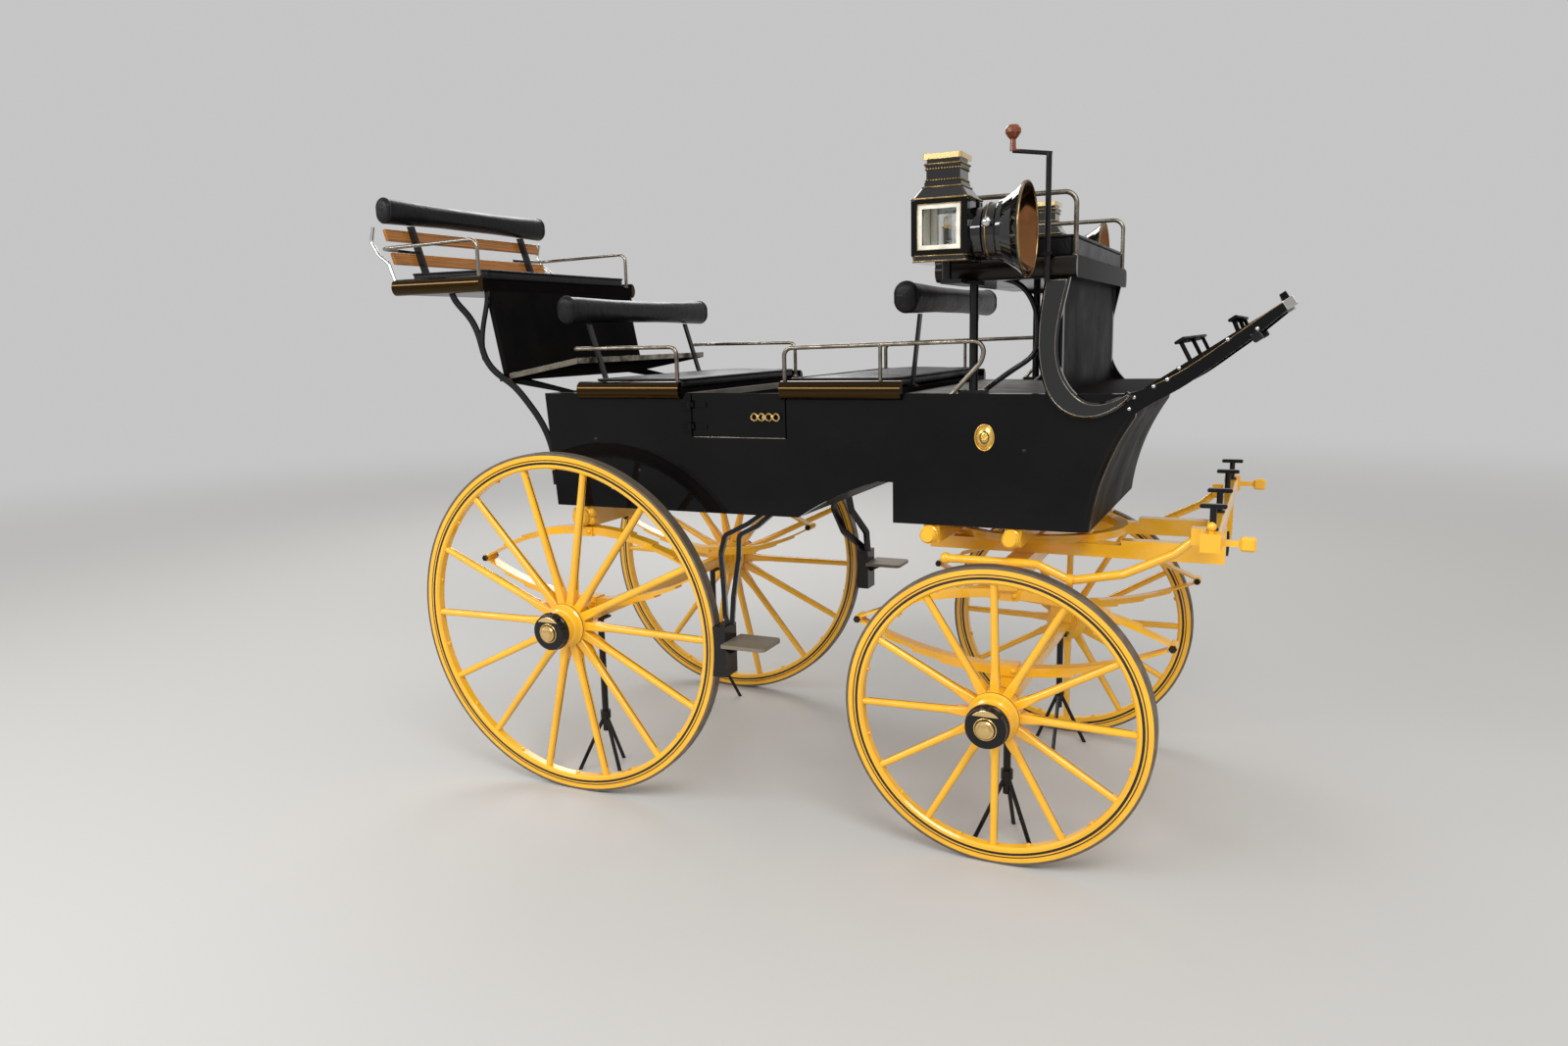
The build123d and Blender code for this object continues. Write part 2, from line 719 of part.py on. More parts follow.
def seat_stays():
    """Bent flat irons from the raised seat down to the hull's raked end, one pair each side."""
    y = groom_half_width + 14
    width = 22
    off = width / 2 * hypot(1, tail_rake / hull_depth)

    def on_tail(z):
        return hull_rear + tail_rake * (hull_top - z) / hull_depth - off, z

    low, high = on_tail(hull_bottom + 70), on_tail(hull_top - 210)
    # Columns: behind the hull's rear edge, above the deck
    bow = [(413, 385), (393, 335), (340, 281), (295, 200), (273, 127), (231, 76), (161, 31), (94, -34), (49, -90), (17, -145)]
    points = [(hull_rear - x, hull_top + z) for x, z in bow]
    long = Spline([*points, high]) + Line(high, low)
    bow = [(249, 380), (247, 335), (260, 286), (276, 229), (283, 171), (276, 120)]
    short = Spline([(hull_rear - x, hull_top + z) for x, z in bow])
    pieces = slab(Plane.XZ * trace(long, width), y - 4.5, y + 4.5) + slab(Plane.XZ * trace(short, 16), y - 4.5, y + 4.5)
    return pieces - box(hull_rear - 500, hull_rear - 150, 0, y + 60, raised_seat_bottom, raised_seat_bottom + 60)


back_line = ((seat["rear"]["x0"] + 16, seat["rear"]["top"]), (roll["rear"]["x"], roll["rear"]["bottom"]))
back_lean = atan2(back_line[0][0] - back_line[1][0], back_line[1][1] - back_line[0][1])
back_iron = 26
slat_height = 46
slat_thickness = 14


def behind_back(z, clearance):
    """A place behind the raised seat's uprights at a height, square to their lean."""
    foot_x, foot_z = back_line[0]
    return foot_x - (z - foot_z) * tan(back_lean) - (back_iron / 2 + clearance) / cos(back_lean)


def rear_irons():
    """Uprights of the raised seat's back, its end rails and the scrolled irons from the slats to the seat."""
    s = seat["rear"]
    irons = [upright(*back_line, y, 14, back_iron) for y in (-330, 330)]
    z = s["top"] + rail_height
    front_x, back_x = s["x1"] - 22, roll["rear"]["x"] - 10
    rail = tube([(back_x, 0.6 * seat_y, z - 10), (back_x, rail_y, z - 6), (front_x, rail_y, z + 6), (front_x, rail_y, s["top"])],
                30, rail_radius)
    scroll_x = s["x0"]
    route = [(scroll_x - 84, z + 74), (scroll_x - 98, z + 20), (scroll_x - 66, z - 30), (scroll_x - 20, z - 62), (scroll_x + 8, s["top"])]
    scroll = tube([(x, rail_y + 16, height) for x, height in route], 24, rail_radius)
    scroll -= seat_frame(s)
    return [*irons, rail, mirrored(rail), scroll, mirrored(scroll)]


def rear_slats():
    """Two varnished slats across the backs of the uprights."""
    slats = []
    for z in (roll["rear"]["z"] - 88, roll["rear"]["z"] - 176):
        x = behind_back(z, slat_thickness / 2 + running_gap)
        slat = Box(slat_thickness, 2 * (seat_y - 35), slat_height)
        slats.append(Pos(x, 0, z) * Rot(0, -degrees(back_lean), 0) * fillet(slat.edges().filter_by(Axis.Y), 4))
    return slats


# Lamps
lamp_x = riser_front - lamp_setback
lamp_y = seat_y + lamp_outset
lamp_z = box_seat_top + lamp_lift
window_half = 0.66 * lamp_half
sill_height = 20


def lamp_left():
    """Square lantern with a window on each side, a stepped chimney, and a barrel that opens into a bell in front."""
    h = lamp_half
    room = h - lamp_wall
    body = chamfer(Box(2 * h, 2 * h, 2 * h).edges().filter_by(Axis.Z), 14)
    body -= chamfer(Box(2 * room, 2 * room, 2 * room).edges().filter_by(Axis.Z), 12)
    body -= Box(2 * window_half, 2 * h + 2, 2 * window_half)
    for side in (-1, 1):
        frame = Box(2 * window_half + 12, 5, 2 * window_half + 12) - Box(2 * window_half, 7, 2 * window_half)
        body += Pos(0, side * (h + 2.4), 0) * frame
    sill = Pos(0, 0, -h - sill_height / 2) * Box(2 * h + 12, 2 * h + 12, sill_height)
    body += chamfer(sill.edges().filter_by(Axis.Z), 12)
    low = (Align.CENTER, Align.CENTER, Align.MIN)
    roof = loft([RectangleRounded(2 * h + 16, 2 * h + 16, 14), Pos(0, 0, 34) * RectangleRounded(1.56 * h, 1.56 * h, 10)])
    body += Pos(0, 0, h) * roof
    # Chimney tiers: half width, start and height above the roof's foot
    for half, start, height in ((0.72, 34, 14), (0.66, 48, 40), (0.7, 88, 8), (0.64, 96, 12), (0.76, 108, 14)):
        tier = extrude(Pos(0, 0, h + start) * RectangleRounded(2 * half * h, 2 * half * h, 8), height)
        body += tier
    barrel = turned(
        [
            (0, h - 3),
            (h - 6, h - 3),
            (h - 6, 1.5 * h),
            (h + 2, 1.6 * h),
            (h + 2, 2.02 * h),
            (h + 10, 2.12 * h),
            (h + 14, 2.3 * h),
            (bell_radius - 18, 2.75 * h),
            (bell_radius, 3.02 * h),
            (bell_radius, 3.08 * h),
            (bell_radius - 5, 3.08 * h),
            (bell_radius - 24, 2.75 * h),
            (h + 6, 2.36 * h),
            (h - 8, 2.28 * h),
            (0, 2.28 * h),
        ]
    )
    body += Plane(origin=(0, 0, -14), x_dir=(0, 1, 0), z_dir=(1, 0, 0)) * barrel
    knob = turned([(0, 0), (9, 0), (9, 8), (15, 14), (15, 24), (8, 30), (0, 30)])
    body += Plane(origin=(-h, 0, 0), z_dir=(-1, 0, 0)) * knob
    body += Pos(0, 0, -h + lamp_wall - 1) * Cylinder(11, 70, align=low)
    return Pos(lamp_x, lamp_y, lamp_z) * body


def lamp_glass_left():
    """A bevelled pane in each window."""
    panes = []
    fit = window_half - running_gap
    thin, bevel = 2, 11
    for side in (-1, 1):
        start = (lamp_x, lamp_y + side * (lamp_half - lamp_wall), lamp_z)
        plane = Plane(origin=start, x_dir=(1, 0, 0), z_dir=(0, side, 0))
        pane = extrude(plane * Rectangle(2 * fit, 2 * fit), thin)
        inner = plane * Pos(0, 0, thin)
        outer = plane * Pos(0, 0, lamp_wall - 1)
        pane += loft([inner * Rectangle(2 * fit, 2 * fit), outer * Rectangle(2 * (fit - bevel), 2 * (fit - bevel))])
        panes.append(pane)
    return panes


def lamp_post():
    """Upright on the deck's edge with an arm below the seat that carries the lamp."""
    x, y = lamp_x + 20, rail_y - 40
    post = upright_cylinder(x, y, hull_top, seat_bottom - 12, 13)
    foot = box(x - 40, x + 40, y - 28, y + 26, hull_top, hull_top + 10)
    arm = box(lamp_x - 13, x + 26, y - 20, lamp_y + 20, seat_bottom - 12, seat_bottom)
    stem = upright_cylinder(lamp_x, lamp_y, seat_bottom - 12, lamp_z - lamp_half - sill_height, 13)
    return post + foot + arm + stem


def driver_stay():
    """Round iron that bows forward from the seat's underside down to the deck."""
    y = seat_y - 100
    # Columns: behind the riser's front, share of the riser's height below the seat
    bow = ((272, -0.06), (206, -0.03), (148, 0.03), (104, 0.21), (89, 0.47), (101, 0.65), (144, 0.76), (197, 0.87), (262, 1.03))
    path = Spline([(riser_front - x, y, seat_bottom - share * neck_height) for x, share in bow])
    stay = sweep(Plane(origin=path @ 0, z_dir=path % 0) * Circle(rail_radius + 1), path=path)
    return stay & box(riser_front - 300, riser_front, y - 40, y + 40, hull_top, seat_bottom)


def brake_crank():
    """Upright screw spindle on a bracket beside the driver's seat, with a cranked arm and a turned knob."""
    s = seat["driver"]
    x = riser_front - 39
    y = -seat_y - moulding_proud - 14
    top = s["top"] + 275
    spindle = upright_cylinder(x, y, s["top"] - 70, top, 8)
    bracket = box(x - 14, x + 14, y - 12, -seat_y + 20, s["top"], s["top"] + 8)
    arm = rod((x + 8, y, top - 4), (x - crank_reach, y, top + 12), 6)
    knob = turned([(0, 0), (9, 0), (8, 30), (14, 36), (22, 48), (22, 58), (14, 68), (0, 71)])
    return spindle + bracket + arm + Pos(x - crank_reach, y, top + 12) * knob


# Steps with brake blocks
def step_left():
    """Two bent irons from the hull's bottom to a brake block before the tyre's tread, with a tread plate on it."""
    y = inside - 10
    tyre_radius = rear["tyre"] / 2
    middle = axle_height(rear)
    block_x = tyre_radius + brake_gap
    mid_y = rear["rim_y"] + 12
    block = box(block_x - 30, block_x + brake_block, mid_y - 40, mid_y + 40, middle - 100, middle + 66)
    worn = Pos(0, 0, middle) * Rot(90, 0, 0) * Cylinder(tyre_radius + brake_gap, 4000)
    block -= worn
    top = middle + 60
    head = (block_x + 24, mid_y - 22, top)
    hang = hull_bottom
    rear_iron = [(690, y, hang), (640, y + 10, hang - 35), (562, y + 30, hang - 75), (552, y + 45, hang - 135),
                 (580, y + 85, top + 100), (block_x + 10, mid_y - 30, top + 24), head]
    fore_iron = [(722, y, hang), (676, y + 12, hang - 40), (620, y + 40, hang - 70), (626, y + 60, hang - 145),
                 (block_x + 36, mid_y - 40, top + 88), (block_x + 36, mid_y - 24, top)]
    irons = [bent_bar(route, 22, Rectangle(15, 24)) for route in (rear_iron, fore_iron)]
    below = box(0, 2000, 0, 2000, 0, hull_bottom)
    tread_x = block_x + brake_block
    tread = box(tread_x, tread_x + step_depth, mid_y - step_width / 2, mid_y + step_width / 2, middle + 6, middle + 18)
    tread = fillet(tread.edges().filter_by(Axis.Z).group_by(Axis.X)[-1], 20)
    rib = face((tread_x, middle - 30), (tread_x + 70, middle + 6), (tread_x, middle + 6))
    return ((irons[0] + irons[1]) & below) + block + tread + slab(rib, mid_y - 6, mid_y + 6)


# Museum stands
def stand(a):
    """Three-legged stand with a saddle under the axle bed."""
    x, top = a["x"], bed_bottom(a)
    hub_z = 215
    body = box(x - 30, x + 30, stand_y - 24, stand_y + 24, top - 8, top)
    body += upright_cylinder(x, stand_y, hub_z - 65, top - 8, stand_post_radius)
    body += upright_cylinder(x, stand_y, hub_z - 16, hub_z + 14, 1.6 * stand_post_radius)
    past = 1.06
    for k in range(3):
        angle = radians(30 + 120 * k)
        foot = (x + past * stand_foot_reach * cos(angle), stand_y + past * stand_foot_reach * sin(angle), -hub_z * (past - 1))
        body += rod((x, stand_y, hub_z), foot, stand_leg_radius)
    return body - box(x - 300, x + 300, stand_y - 300, stand_y + 300, -60, 0)


# Forecarriage
def ring(z0):
    """One plate of the turntable."""
    low = (Align.CENTER, Align.CENTER, Align.MIN)
    plate = Cylinder(ring_radius + ring_width / 2, ring_thickness, align=low)
    plate -= Cylinder(ring_radius - ring_width / 2, 3 * ring_thickness)
    return Pos(wheelbase, 0, z0) * plate


pin_hole = upright_cylinder(wheelbase, 0, bolster_bottom - 5, transom_bottom + 5, kingpin_radius + running_gap)
kingpin = upright_cylinder(wheelbase, 0, bolster_bottom + 2, transom_bottom, kingpin_radius)


def front_bolster():
    """Cross beam on the front springs, arched up between them, with carved ends."""
    half = front["spring_y"] + 40
    x0, x1 = wheelbase - bolster_width / 2, wheelbase + bolster_width / 2
    beam = box(x0, x1, -half, half, bolster_bottom, futchell_bottom)
    hollow_half = front["spring_y"] - 90
    sag = 22
    radius = (hollow_half**2 + sag**2) / (2 * sag)
    beam -= Pos(wheelbase, 0, bolster_bottom + sag - radius) * Rot(0, 90, 0) * Cylinder(radius, 2 * bolster_width)
    beam = chamfer(beam.faces().filter_by(Axis.Y).edges().filter_by(Axis.Z), 10)
    return beam - pin_hole


def turntable_lower():
    """Lower ring on two futchells that run forward to the splinter bar, tied behind and at the pin."""
    x0 = wheelbase - ring_radius - 40
    x1 = splinter_x + splinter_depth / 2
    half = futchell_width / 2
    plate = ring(lower_ring_bottom)
    for y in (-futchell_y, futchell_y):
        plate += box(x0, x1, y - half, y + half, futchell_bottom, lower_ring_bottom)
        plate += box(wheelbase + ring_radius + 30, x1, y - half, y + half, lower_ring_bottom, lower_ring_bottom + 16)
    for x, width in ((x0 + 40, 40), (wheelbase, bolster_width)):
        plate += box(x - width / 2, x + width / 2, -futchell_y, futchell_y, futchell_bottom, lower_ring_bottom)
    return plate - pin_hole


def wheel_irons():
    """Curved iron from the bolster's end forward and up to the splinter bar, with a collar and an end block."""
    y = front["spring_y"] + 12
    radius = 13
    z = futchell_bottom + radius
    end_x = splinter_x - splinter_depth / 2
    # Columns: forward of the kingpin, height above the iron's bed
    route = [(-192, 0), (88, 0), (188, -43), (338, -13), (splinter_reach - 98, 57)]
    bar = tube([*((wheelbase + x, y, z + dz) for x, dz in route), (end_x, y, splinter_bottom + 25)], 60, radius)
    bar += Pos(wheelbase - 192, y, z) * Sphere(1.35 * radius)
    bar += Plane(origin=(wheelbase + 188, y, z - 41), z_dir=(1, 0, -0.1)) * Cylinder(1.3 * radius, 18)
    bar += box(end_x - 36, end_x, y - 20, y + 20, splinter_bottom - 14, splinter_bottom + 34)
    return bar & box(0, end_x, 0, 2 * y, 0, hull_top)


def splinter_bar():
    """Cross bar for the traces on two pads over the futchells, with a trace block and a ball at each end."""
    x0, x1 = splinter_x - splinter_depth / 2, splinter_x + splinter_depth / 2
    z0, z1 = splinter_bottom, splinter_bottom + splinter_height
    bar = chamfer(box(x0, x1, -splinter_half_length, splinter_half_length, z0, z1).edges().filter_by(Axis.Y), 7)
    for side in (-1, 1):
        y = side * (splinter_half_length - 24)
        bar += box(x0, x1, side * futchell_y - 20, side * futchell_y + 20, lower_ring_bottom + 16, z0)
        bar += box(x1, x1 + 60, y - 9, y + 9, z0 + 12, z0 + 28)
        block = box(x1 + 50, x1 + 90, y - 20, y + 20, z0 + 1, z0 + 39)
        bar += chamfer(block.edges(), 6)
        bar += upright_cylinder(splinter_x, y, z1 - 1, z1 + 10, 7) + Pos(splinter_x, y, z1 + 19) * Sphere(13)
        bar += box(x0 - 4, x1 + 4, y - 30, y - 24, z0 - 4, z1 + 4)
        bar += box(x0 - 4, x1 + 4, y + 12, y + 18, z0 - 4, z1 + 4)
    return bar


def pole_socket():
    """Sleeve for the pole's butt between the futchells, on a cross iron."""
    axis_z = futchell_bottom + futchell_height / 2
    start = Plane(origin=(splinter_x + splinter_depth / 2 - pole_socket_length, 0, axis_z), z_dir=(1, 0, 0))
    low = (Align.CENTER, Align.CENTER, Align.MIN)
    sleeve = start * Cylinder(pole_socket_radius + 8, pole_socket_length, align=low)
    half = futchell_y - futchell_width / 2
    iron = box(splinter_x - 40, splinter_x - 10, -half, half, axis_z - 12, axis_z + 12)
    return sleeve + iron - start * Pos(0, 0, -5) * Cylinder(pole_socket_radius, pole_socket_length + 10, align=low)


def roller_bolts():
    """Four upright roller bolts with crossed heads on the splinter bar."""
    bolts = []
    z = splinter_bottom + splinter_height
    for y in (futchell_y + 15, splinter_half_length - 84):
        post = turned([(0, 0), (16, 0), (16, 6), (9, 10), (9, 62), (0, 62)])
        head = Pos(0, 0, 66) * fillet(Box(70, 16, 12).edges().filter_by(Axis.Y), 5)
        bolt = Pos(splinter_x, y, z) * (post + head)
        bolts += [bolt, mirrored(bolt)]
    return bolts


# Nodes
nodes = {}
for a in axles:
    for kind, piece in {"tyre": tyre(a), "wheel": wheel(a), "hub_cap": hub_cap()}.items():
        left = in_wheel(a, piece)
        nodes[f"{a['name']}_{kind}_left"] = left
        nodes[f"{a['name']}_{kind}_right"] = mirrored(left)
    nodes[f"{a['name']}_axle"] = axle(a)
    nodes[f"{a['name']}_springs"] = pair(elliptic_spring(a))
    nodes[f"{a['name']}_stands"] = pair(stand(a))

# Each row gives the left piece of a pair of nodes
for name, left in {"hull_side": hull_side_left(), "door": door_left(), "lamp": lamp_left()}.items():
    nodes[f"{name}_left"] = left
    nodes[f"{name}_right"] = mirrored(left)
nodes["hull_floor"] = hull_floor
nodes["hull_deck"] = hull_deck
nodes["hull_panels"] = hull_panels
nodes["driver_riser"] = driver_riser
nodes["riser_wings"] = pair(wing_left)
nodes["footboard"] = footboard()
for s in seats:
    nodes[f"{s['name']}_seat"] = seat_frame(s)
    nodes[f"{s['name']}_cushion"] = cushion(s)
for r in rolls:
    nodes[f"{r['name']}_roll"] = back_roll(r)
nodes["roll_irons"] = Compound(children=roll_irons())
nodes["lower_rails"] = Compound(children=lower_rails())
nodes["driver_rail"] = driver_rail()
nodes["groom_boards"] = Compound(children=[groom_panel(), groom_footboard()])
nodes["lamp_glass"] = Compound(children=[p for pane in lamp_glass_left() for p in (pane, mirrored(pane))])
nodes["driver_irons"] = Compound(children=[pair(lamp_post()), pair(driver_stay())])
nodes["brake_crank"] = brake_crank()
nodes["steps"] = pair(step_left())
nodes["body_transoms"] = Compound(children=[rear_bar(), front_frame()])
nodes["turntable_upper"] = ring(upper_ring_bottom) + kingpin
nodes["front_bolster"] = front_bolster()
nodes["turntable_lower"] = turntable_lower()
nodes["wheel_irons"] = pair(wheel_irons())
nodes["splinter_bar"] = splinter_bar()
nodes["pole_socket"] = pole_socket()
nodes["roller_bolts"] = Compound(children=roller_bolts())
nodes["seat_stays"] = pair(seat_stays())
nodes["rear_irons"] = Compound(children=rear_irons())
nodes["rear_slats"] = Compound(children=rear_slats())

boxes = [shape.bounding_box() for shape in nodes.values()]
tail, tip = min(b.min.X for b in boxes), max(b.max.X for b in boxes)
middle_x = (tail + tip) / 2
os.makedirs("parts", exist_ok=True)
for name, shape in nodes.items():
    solids = [Pos(-middle_x, 0, 0) * solid for solid in shape.solids()]
    export_step(solids[0] if len(solids) == 1 else Compound(children=solids), f"parts/{name}.step")
print("nodes", len(nodes), "tail", tail, "tip", tip, "rear axle at", -middle_x, "kingpin at", wheelbase - middle_x)
print("hull", hull_bottom, "to", hull_top, "rear springs rise", rear["rise"], "axle heights", *map(axle_height, axles))
print("hinge at", door_rear - middle_x, hinge_y, "pole socket z", futchell_bottom + futchell_height / 2)
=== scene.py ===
# %% [markdown]
# # A horse drawn shooting carriage, dressed from its CAD solids
#
# The solids come in already built and in place, one object a piece. This script gives every surface its
# finish, adds what a coachbuilder, a lamp maker and a painter would add, and sews and stuffs the leather.
# Lengths are in metres, X runs forward, Y to the carriage's left and Z up.

# %% Load the solids
import json
import math

import bmesh
import bpy
from mathutils import Matrix, Vector


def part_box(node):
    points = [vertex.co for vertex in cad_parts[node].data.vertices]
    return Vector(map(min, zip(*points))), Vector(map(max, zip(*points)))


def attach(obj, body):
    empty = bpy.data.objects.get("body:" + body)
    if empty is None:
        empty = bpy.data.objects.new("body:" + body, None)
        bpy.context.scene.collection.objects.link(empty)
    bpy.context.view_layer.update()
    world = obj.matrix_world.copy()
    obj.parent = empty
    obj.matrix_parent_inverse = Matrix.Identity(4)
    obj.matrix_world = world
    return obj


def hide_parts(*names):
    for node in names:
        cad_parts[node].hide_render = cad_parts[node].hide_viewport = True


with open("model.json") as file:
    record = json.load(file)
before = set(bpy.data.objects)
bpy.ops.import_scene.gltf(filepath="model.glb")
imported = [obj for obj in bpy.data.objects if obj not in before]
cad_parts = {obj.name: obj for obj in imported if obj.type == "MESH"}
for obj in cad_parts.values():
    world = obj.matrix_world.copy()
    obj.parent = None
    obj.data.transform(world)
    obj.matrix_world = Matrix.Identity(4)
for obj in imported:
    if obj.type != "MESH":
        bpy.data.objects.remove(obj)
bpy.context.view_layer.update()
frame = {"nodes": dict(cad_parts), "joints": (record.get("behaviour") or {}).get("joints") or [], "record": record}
nodes = frame["nodes"]
joints = {joint["name"]: joint for joint in frame["joints"]}

# %% [markdown]
# ## Places to measure from
#
# A maker measures a carriage from its axles. The rear axle's place is read from the wheel's joint, so a
# piece can be set by its distance ahead of that axle. Typed places would also do, but these follow the
# solids.

# %% Sizes shared with the solids
rear_axle_x, _, axle_z = joints["rear_left_wheel_spin"]["pos_m"]
hull_half_width = 0.49
hull_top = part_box("hull_deck")[1][2]
seat_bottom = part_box("driver_riser")[1][2]


def ahead(distance):
    """A place along X from its distance ahead of the rear axle."""
    return rear_axle_x + distance


print("rear axle at", rear_axle_x, axle_z, "hull top", hull_top, "box seat", seat_bottom)

# %% [markdown]
# ## Camera
#
# The four wheels are circles that stand on one floor, which fixes where the photograph was taken from. The
# camera could be aimed by hand, but set at that place and turned by its three angles it shows each piece
# in the same perspective as the photograph.

# %% Camera at the photograph's place
scene = bpy.context.scene
IMAGE_WIDTH = 1600
FOCAL_PIXELS = 1096.4056
SENSOR = 36.0
CAMERA_AHEAD, CAMERA_Y, CAMERA_HEIGHT = 2.24936, -3.62297, 1.59179
camera_data = bpy.data.cameras.new("camera")
camera_data.sensor_width = SENSOR
camera_data.lens = FOCAL_PIXELS * SENSOR / IMAGE_WIDTH
camera = bpy.data.objects.new("camera", camera_data)
scene.collection.objects.link(camera)
scene.camera = camera
yaw, pitch, roll = math.radians(-25.08), math.radians(-9.88), math.radians(-1.32)
forward = Vector((math.sin(yaw) * math.cos(pitch), math.cos(yaw) * math.cos(pitch), math.sin(pitch)))
level_right = forward.cross(Vector((0, 0, 1))).normalized()
level_up = level_right.cross(forward)
right = level_right * math.cos(roll) + level_up * math.sin(roll)
up = level_up * math.cos(roll) - level_right * math.sin(roll)
turn = Matrix((right, up, -forward)).transposed()
camera.matrix_world = Matrix.Translation((ahead(CAMERA_AHEAD), CAMERA_Y, CAMERA_HEIGHT)) @ turn.to_4x4()
scene.view_settings.view_transform = "Standard"
print("camera at", tuple(camera.matrix_world.translation), "lens", round(camera_data.lens, 2))

# %% [markdown]
# ## Floor and light
#
# A black carriage shows what surrounds it, and in a white room its varnish would look white. So the room
# is a pale grey: a floor and a world that metal, varnish and glass reflect, two wide soft lamps for gentle
# shadows, and a long strip light that draws bright lines along round rails and mouldings. The floor fades
# into the world further out, which leaves no hard horizon.

# %% Floor and world
BACKGROUND = 0.56
FLOOR_RADIUS = 40
FADE_START, FADE_END = 4.0, 14.0


def add_node(tree, kind, place=(0, 0), **settings):
    """A node with its settings; keys that name an input fill that input."""
    node = tree.nodes.new(kind)
    node.location = place
    for key, value in settings.items():
        if hasattr(node, key):
            setattr(node, key, value)
        else:
            node.inputs[key.replace("_", " ")].default_value = value
    return node


def wire(tree, *pairs):
    """Links the first socket of each pair to the second."""
    for source, target in pairs:
        tree.links.new(source, target)


def largest(tree, sockets):
    """The largest of several values."""
    total = sockets[0]
    for socket in sockets[1:]:
        both = add_node(tree, "ShaderNodeMath", operation="MAXIMUM")
        wire(tree, (total, both.inputs[0]), (socket, both.inputs[1]))
        total = both.outputs[0]
    return total


def seen_directly(tree):
    """1 where the camera, a reflection or a view through glass meets the surface."""
    path = add_node(tree, "ShaderNodeLightPath")
    return largest(tree, [path.outputs[f"Is {kind} Ray"] for kind in ("Camera", "Glossy", "Transmission")])


world = bpy.data.worlds.new("pale room")
scene.world = world
world.use_nodes = True
sky = world.node_tree
sky.nodes.clear()
shown = add_node(sky, "ShaderNodeBackground", Color=(BACKGROUND, BACKGROUND, BACKGROUND, 1), Strength=1.0)
lighting = add_node(sky, "ShaderNodeBackground", Color=(1, 0.99, 0.97, 1), Strength=0.66)
choose = add_node(sky, "ShaderNodeMixShader")
world_out = add_node(sky, "ShaderNodeOutputWorld")
wire(
    sky,
    (seen_directly(sky), choose.inputs[0]),
    (lighting.outputs[0], choose.inputs[1]),
    (shown.outputs[0], choose.inputs[2]),
    (choose.outputs[0], world_out.inputs[0]),
)

floor_mesh = bpy.data.meshes.new("floor")
floor_shape = bmesh.new()
bmesh.ops.create_circle(floor_shape, cap_ends=True, segments=64, radius=FLOOR_RADIUS)
floor_shape.to_mesh(floor_mesh)
floor_shape.free()
floor = bpy.data.objects.new("floor", floor_mesh)
scene.collection.objects.link(floor)

floor_finish = bpy.data.materials.new("pale floor")
floor_finish.use_nodes = True
tree = floor_finish.node_tree
tree.nodes.clear()
matt = add_node(tree, "ShaderNodeBsdfPrincipled", Base_Color=(0.53, 0.525, 0.51, 1), Roughness=0.8)
far_room = add_node(tree, "ShaderNodeEmission", Color=(BACKGROUND, BACKGROUND, BACKGROUND, 1), Strength=1.0)
where = add_node(tree, "ShaderNodeTexCoord")
length = add_node(tree, "ShaderNodeVectorMath", operation="LENGTH")
fade = add_node(
    tree, "ShaderNodeMapRange", interpolation_type="SMOOTHSTEP", From_Min=FADE_START, From_Max=FADE_END
)
times = add_node(tree, "ShaderNodeMath", operation="MULTIPLY")
mixed = add_node(tree, "ShaderNodeMixShader")
out = add_node(tree, "ShaderNodeOutputMaterial")
wire(
    tree,
    (where.outputs["Object"], length.inputs[0]),
    (length.outputs["Value"], fade.inputs["Value"]),
    (fade.outputs[0], times.inputs[0]),
    (seen_directly(tree), times.inputs[1]),
    (times.outputs[0], mixed.inputs[0]),
    (matt.outputs[0], mixed.inputs[1]),
    (far_room.outputs[0], mixed.inputs[2]),
    (mixed.outputs[0], out.inputs[0]),
)
floor_mesh.materials.append(floor_finish)
print("floor and world at", BACKGROUND)


# %% Three lamps
def soft_lamp(name, place, aim, size, power):
    """A soft light of a width and height at a place, turned to its aim."""
    data = bpy.data.lights.new(name, "AREA")
    data.shape = "RECTANGLE"
    data.size, data.size_y = size
    data.energy = power
    lamp = bpy.data.objects.new(name, data)
    towards = (Vector(aim) - Vector(place)).to_track_quat("-Z", "Y")
    lamp.matrix_world = Matrix.Translation(place) @ towards.to_matrix().to_4x4()
    scene.collection.objects.link(lamp)


soft_lamp("key light", (3.5, -5.0, 6.0), (0, 0, 0.8), (3.5, 3.5), 300)
soft_lamp("back light", (-3.5, 5.0, 5.0), (0, 0, 1.0), (3.5, 3.5), 160)
soft_lamp("strip light", (-3.2, -5.2, 3.9), (-0.4, 0, 1.3), (5.5, 0.8), 190)
print("three lamps")

# %% [markdown]
# ## Finishes
#
# Paint, metal and wood on an old carriage are never one flat colour. Each finish starts from one glossy
# shader, and noise in the object's own coordinates varies its colour and its gloss a little, as age and
# polish do. A fine bump breaks up the reflections. Nothing depends on where the camera stands. The blacks
# differ mostly in how much they reflect: a wing mirrors the room, a board that is trodden on hardly does.


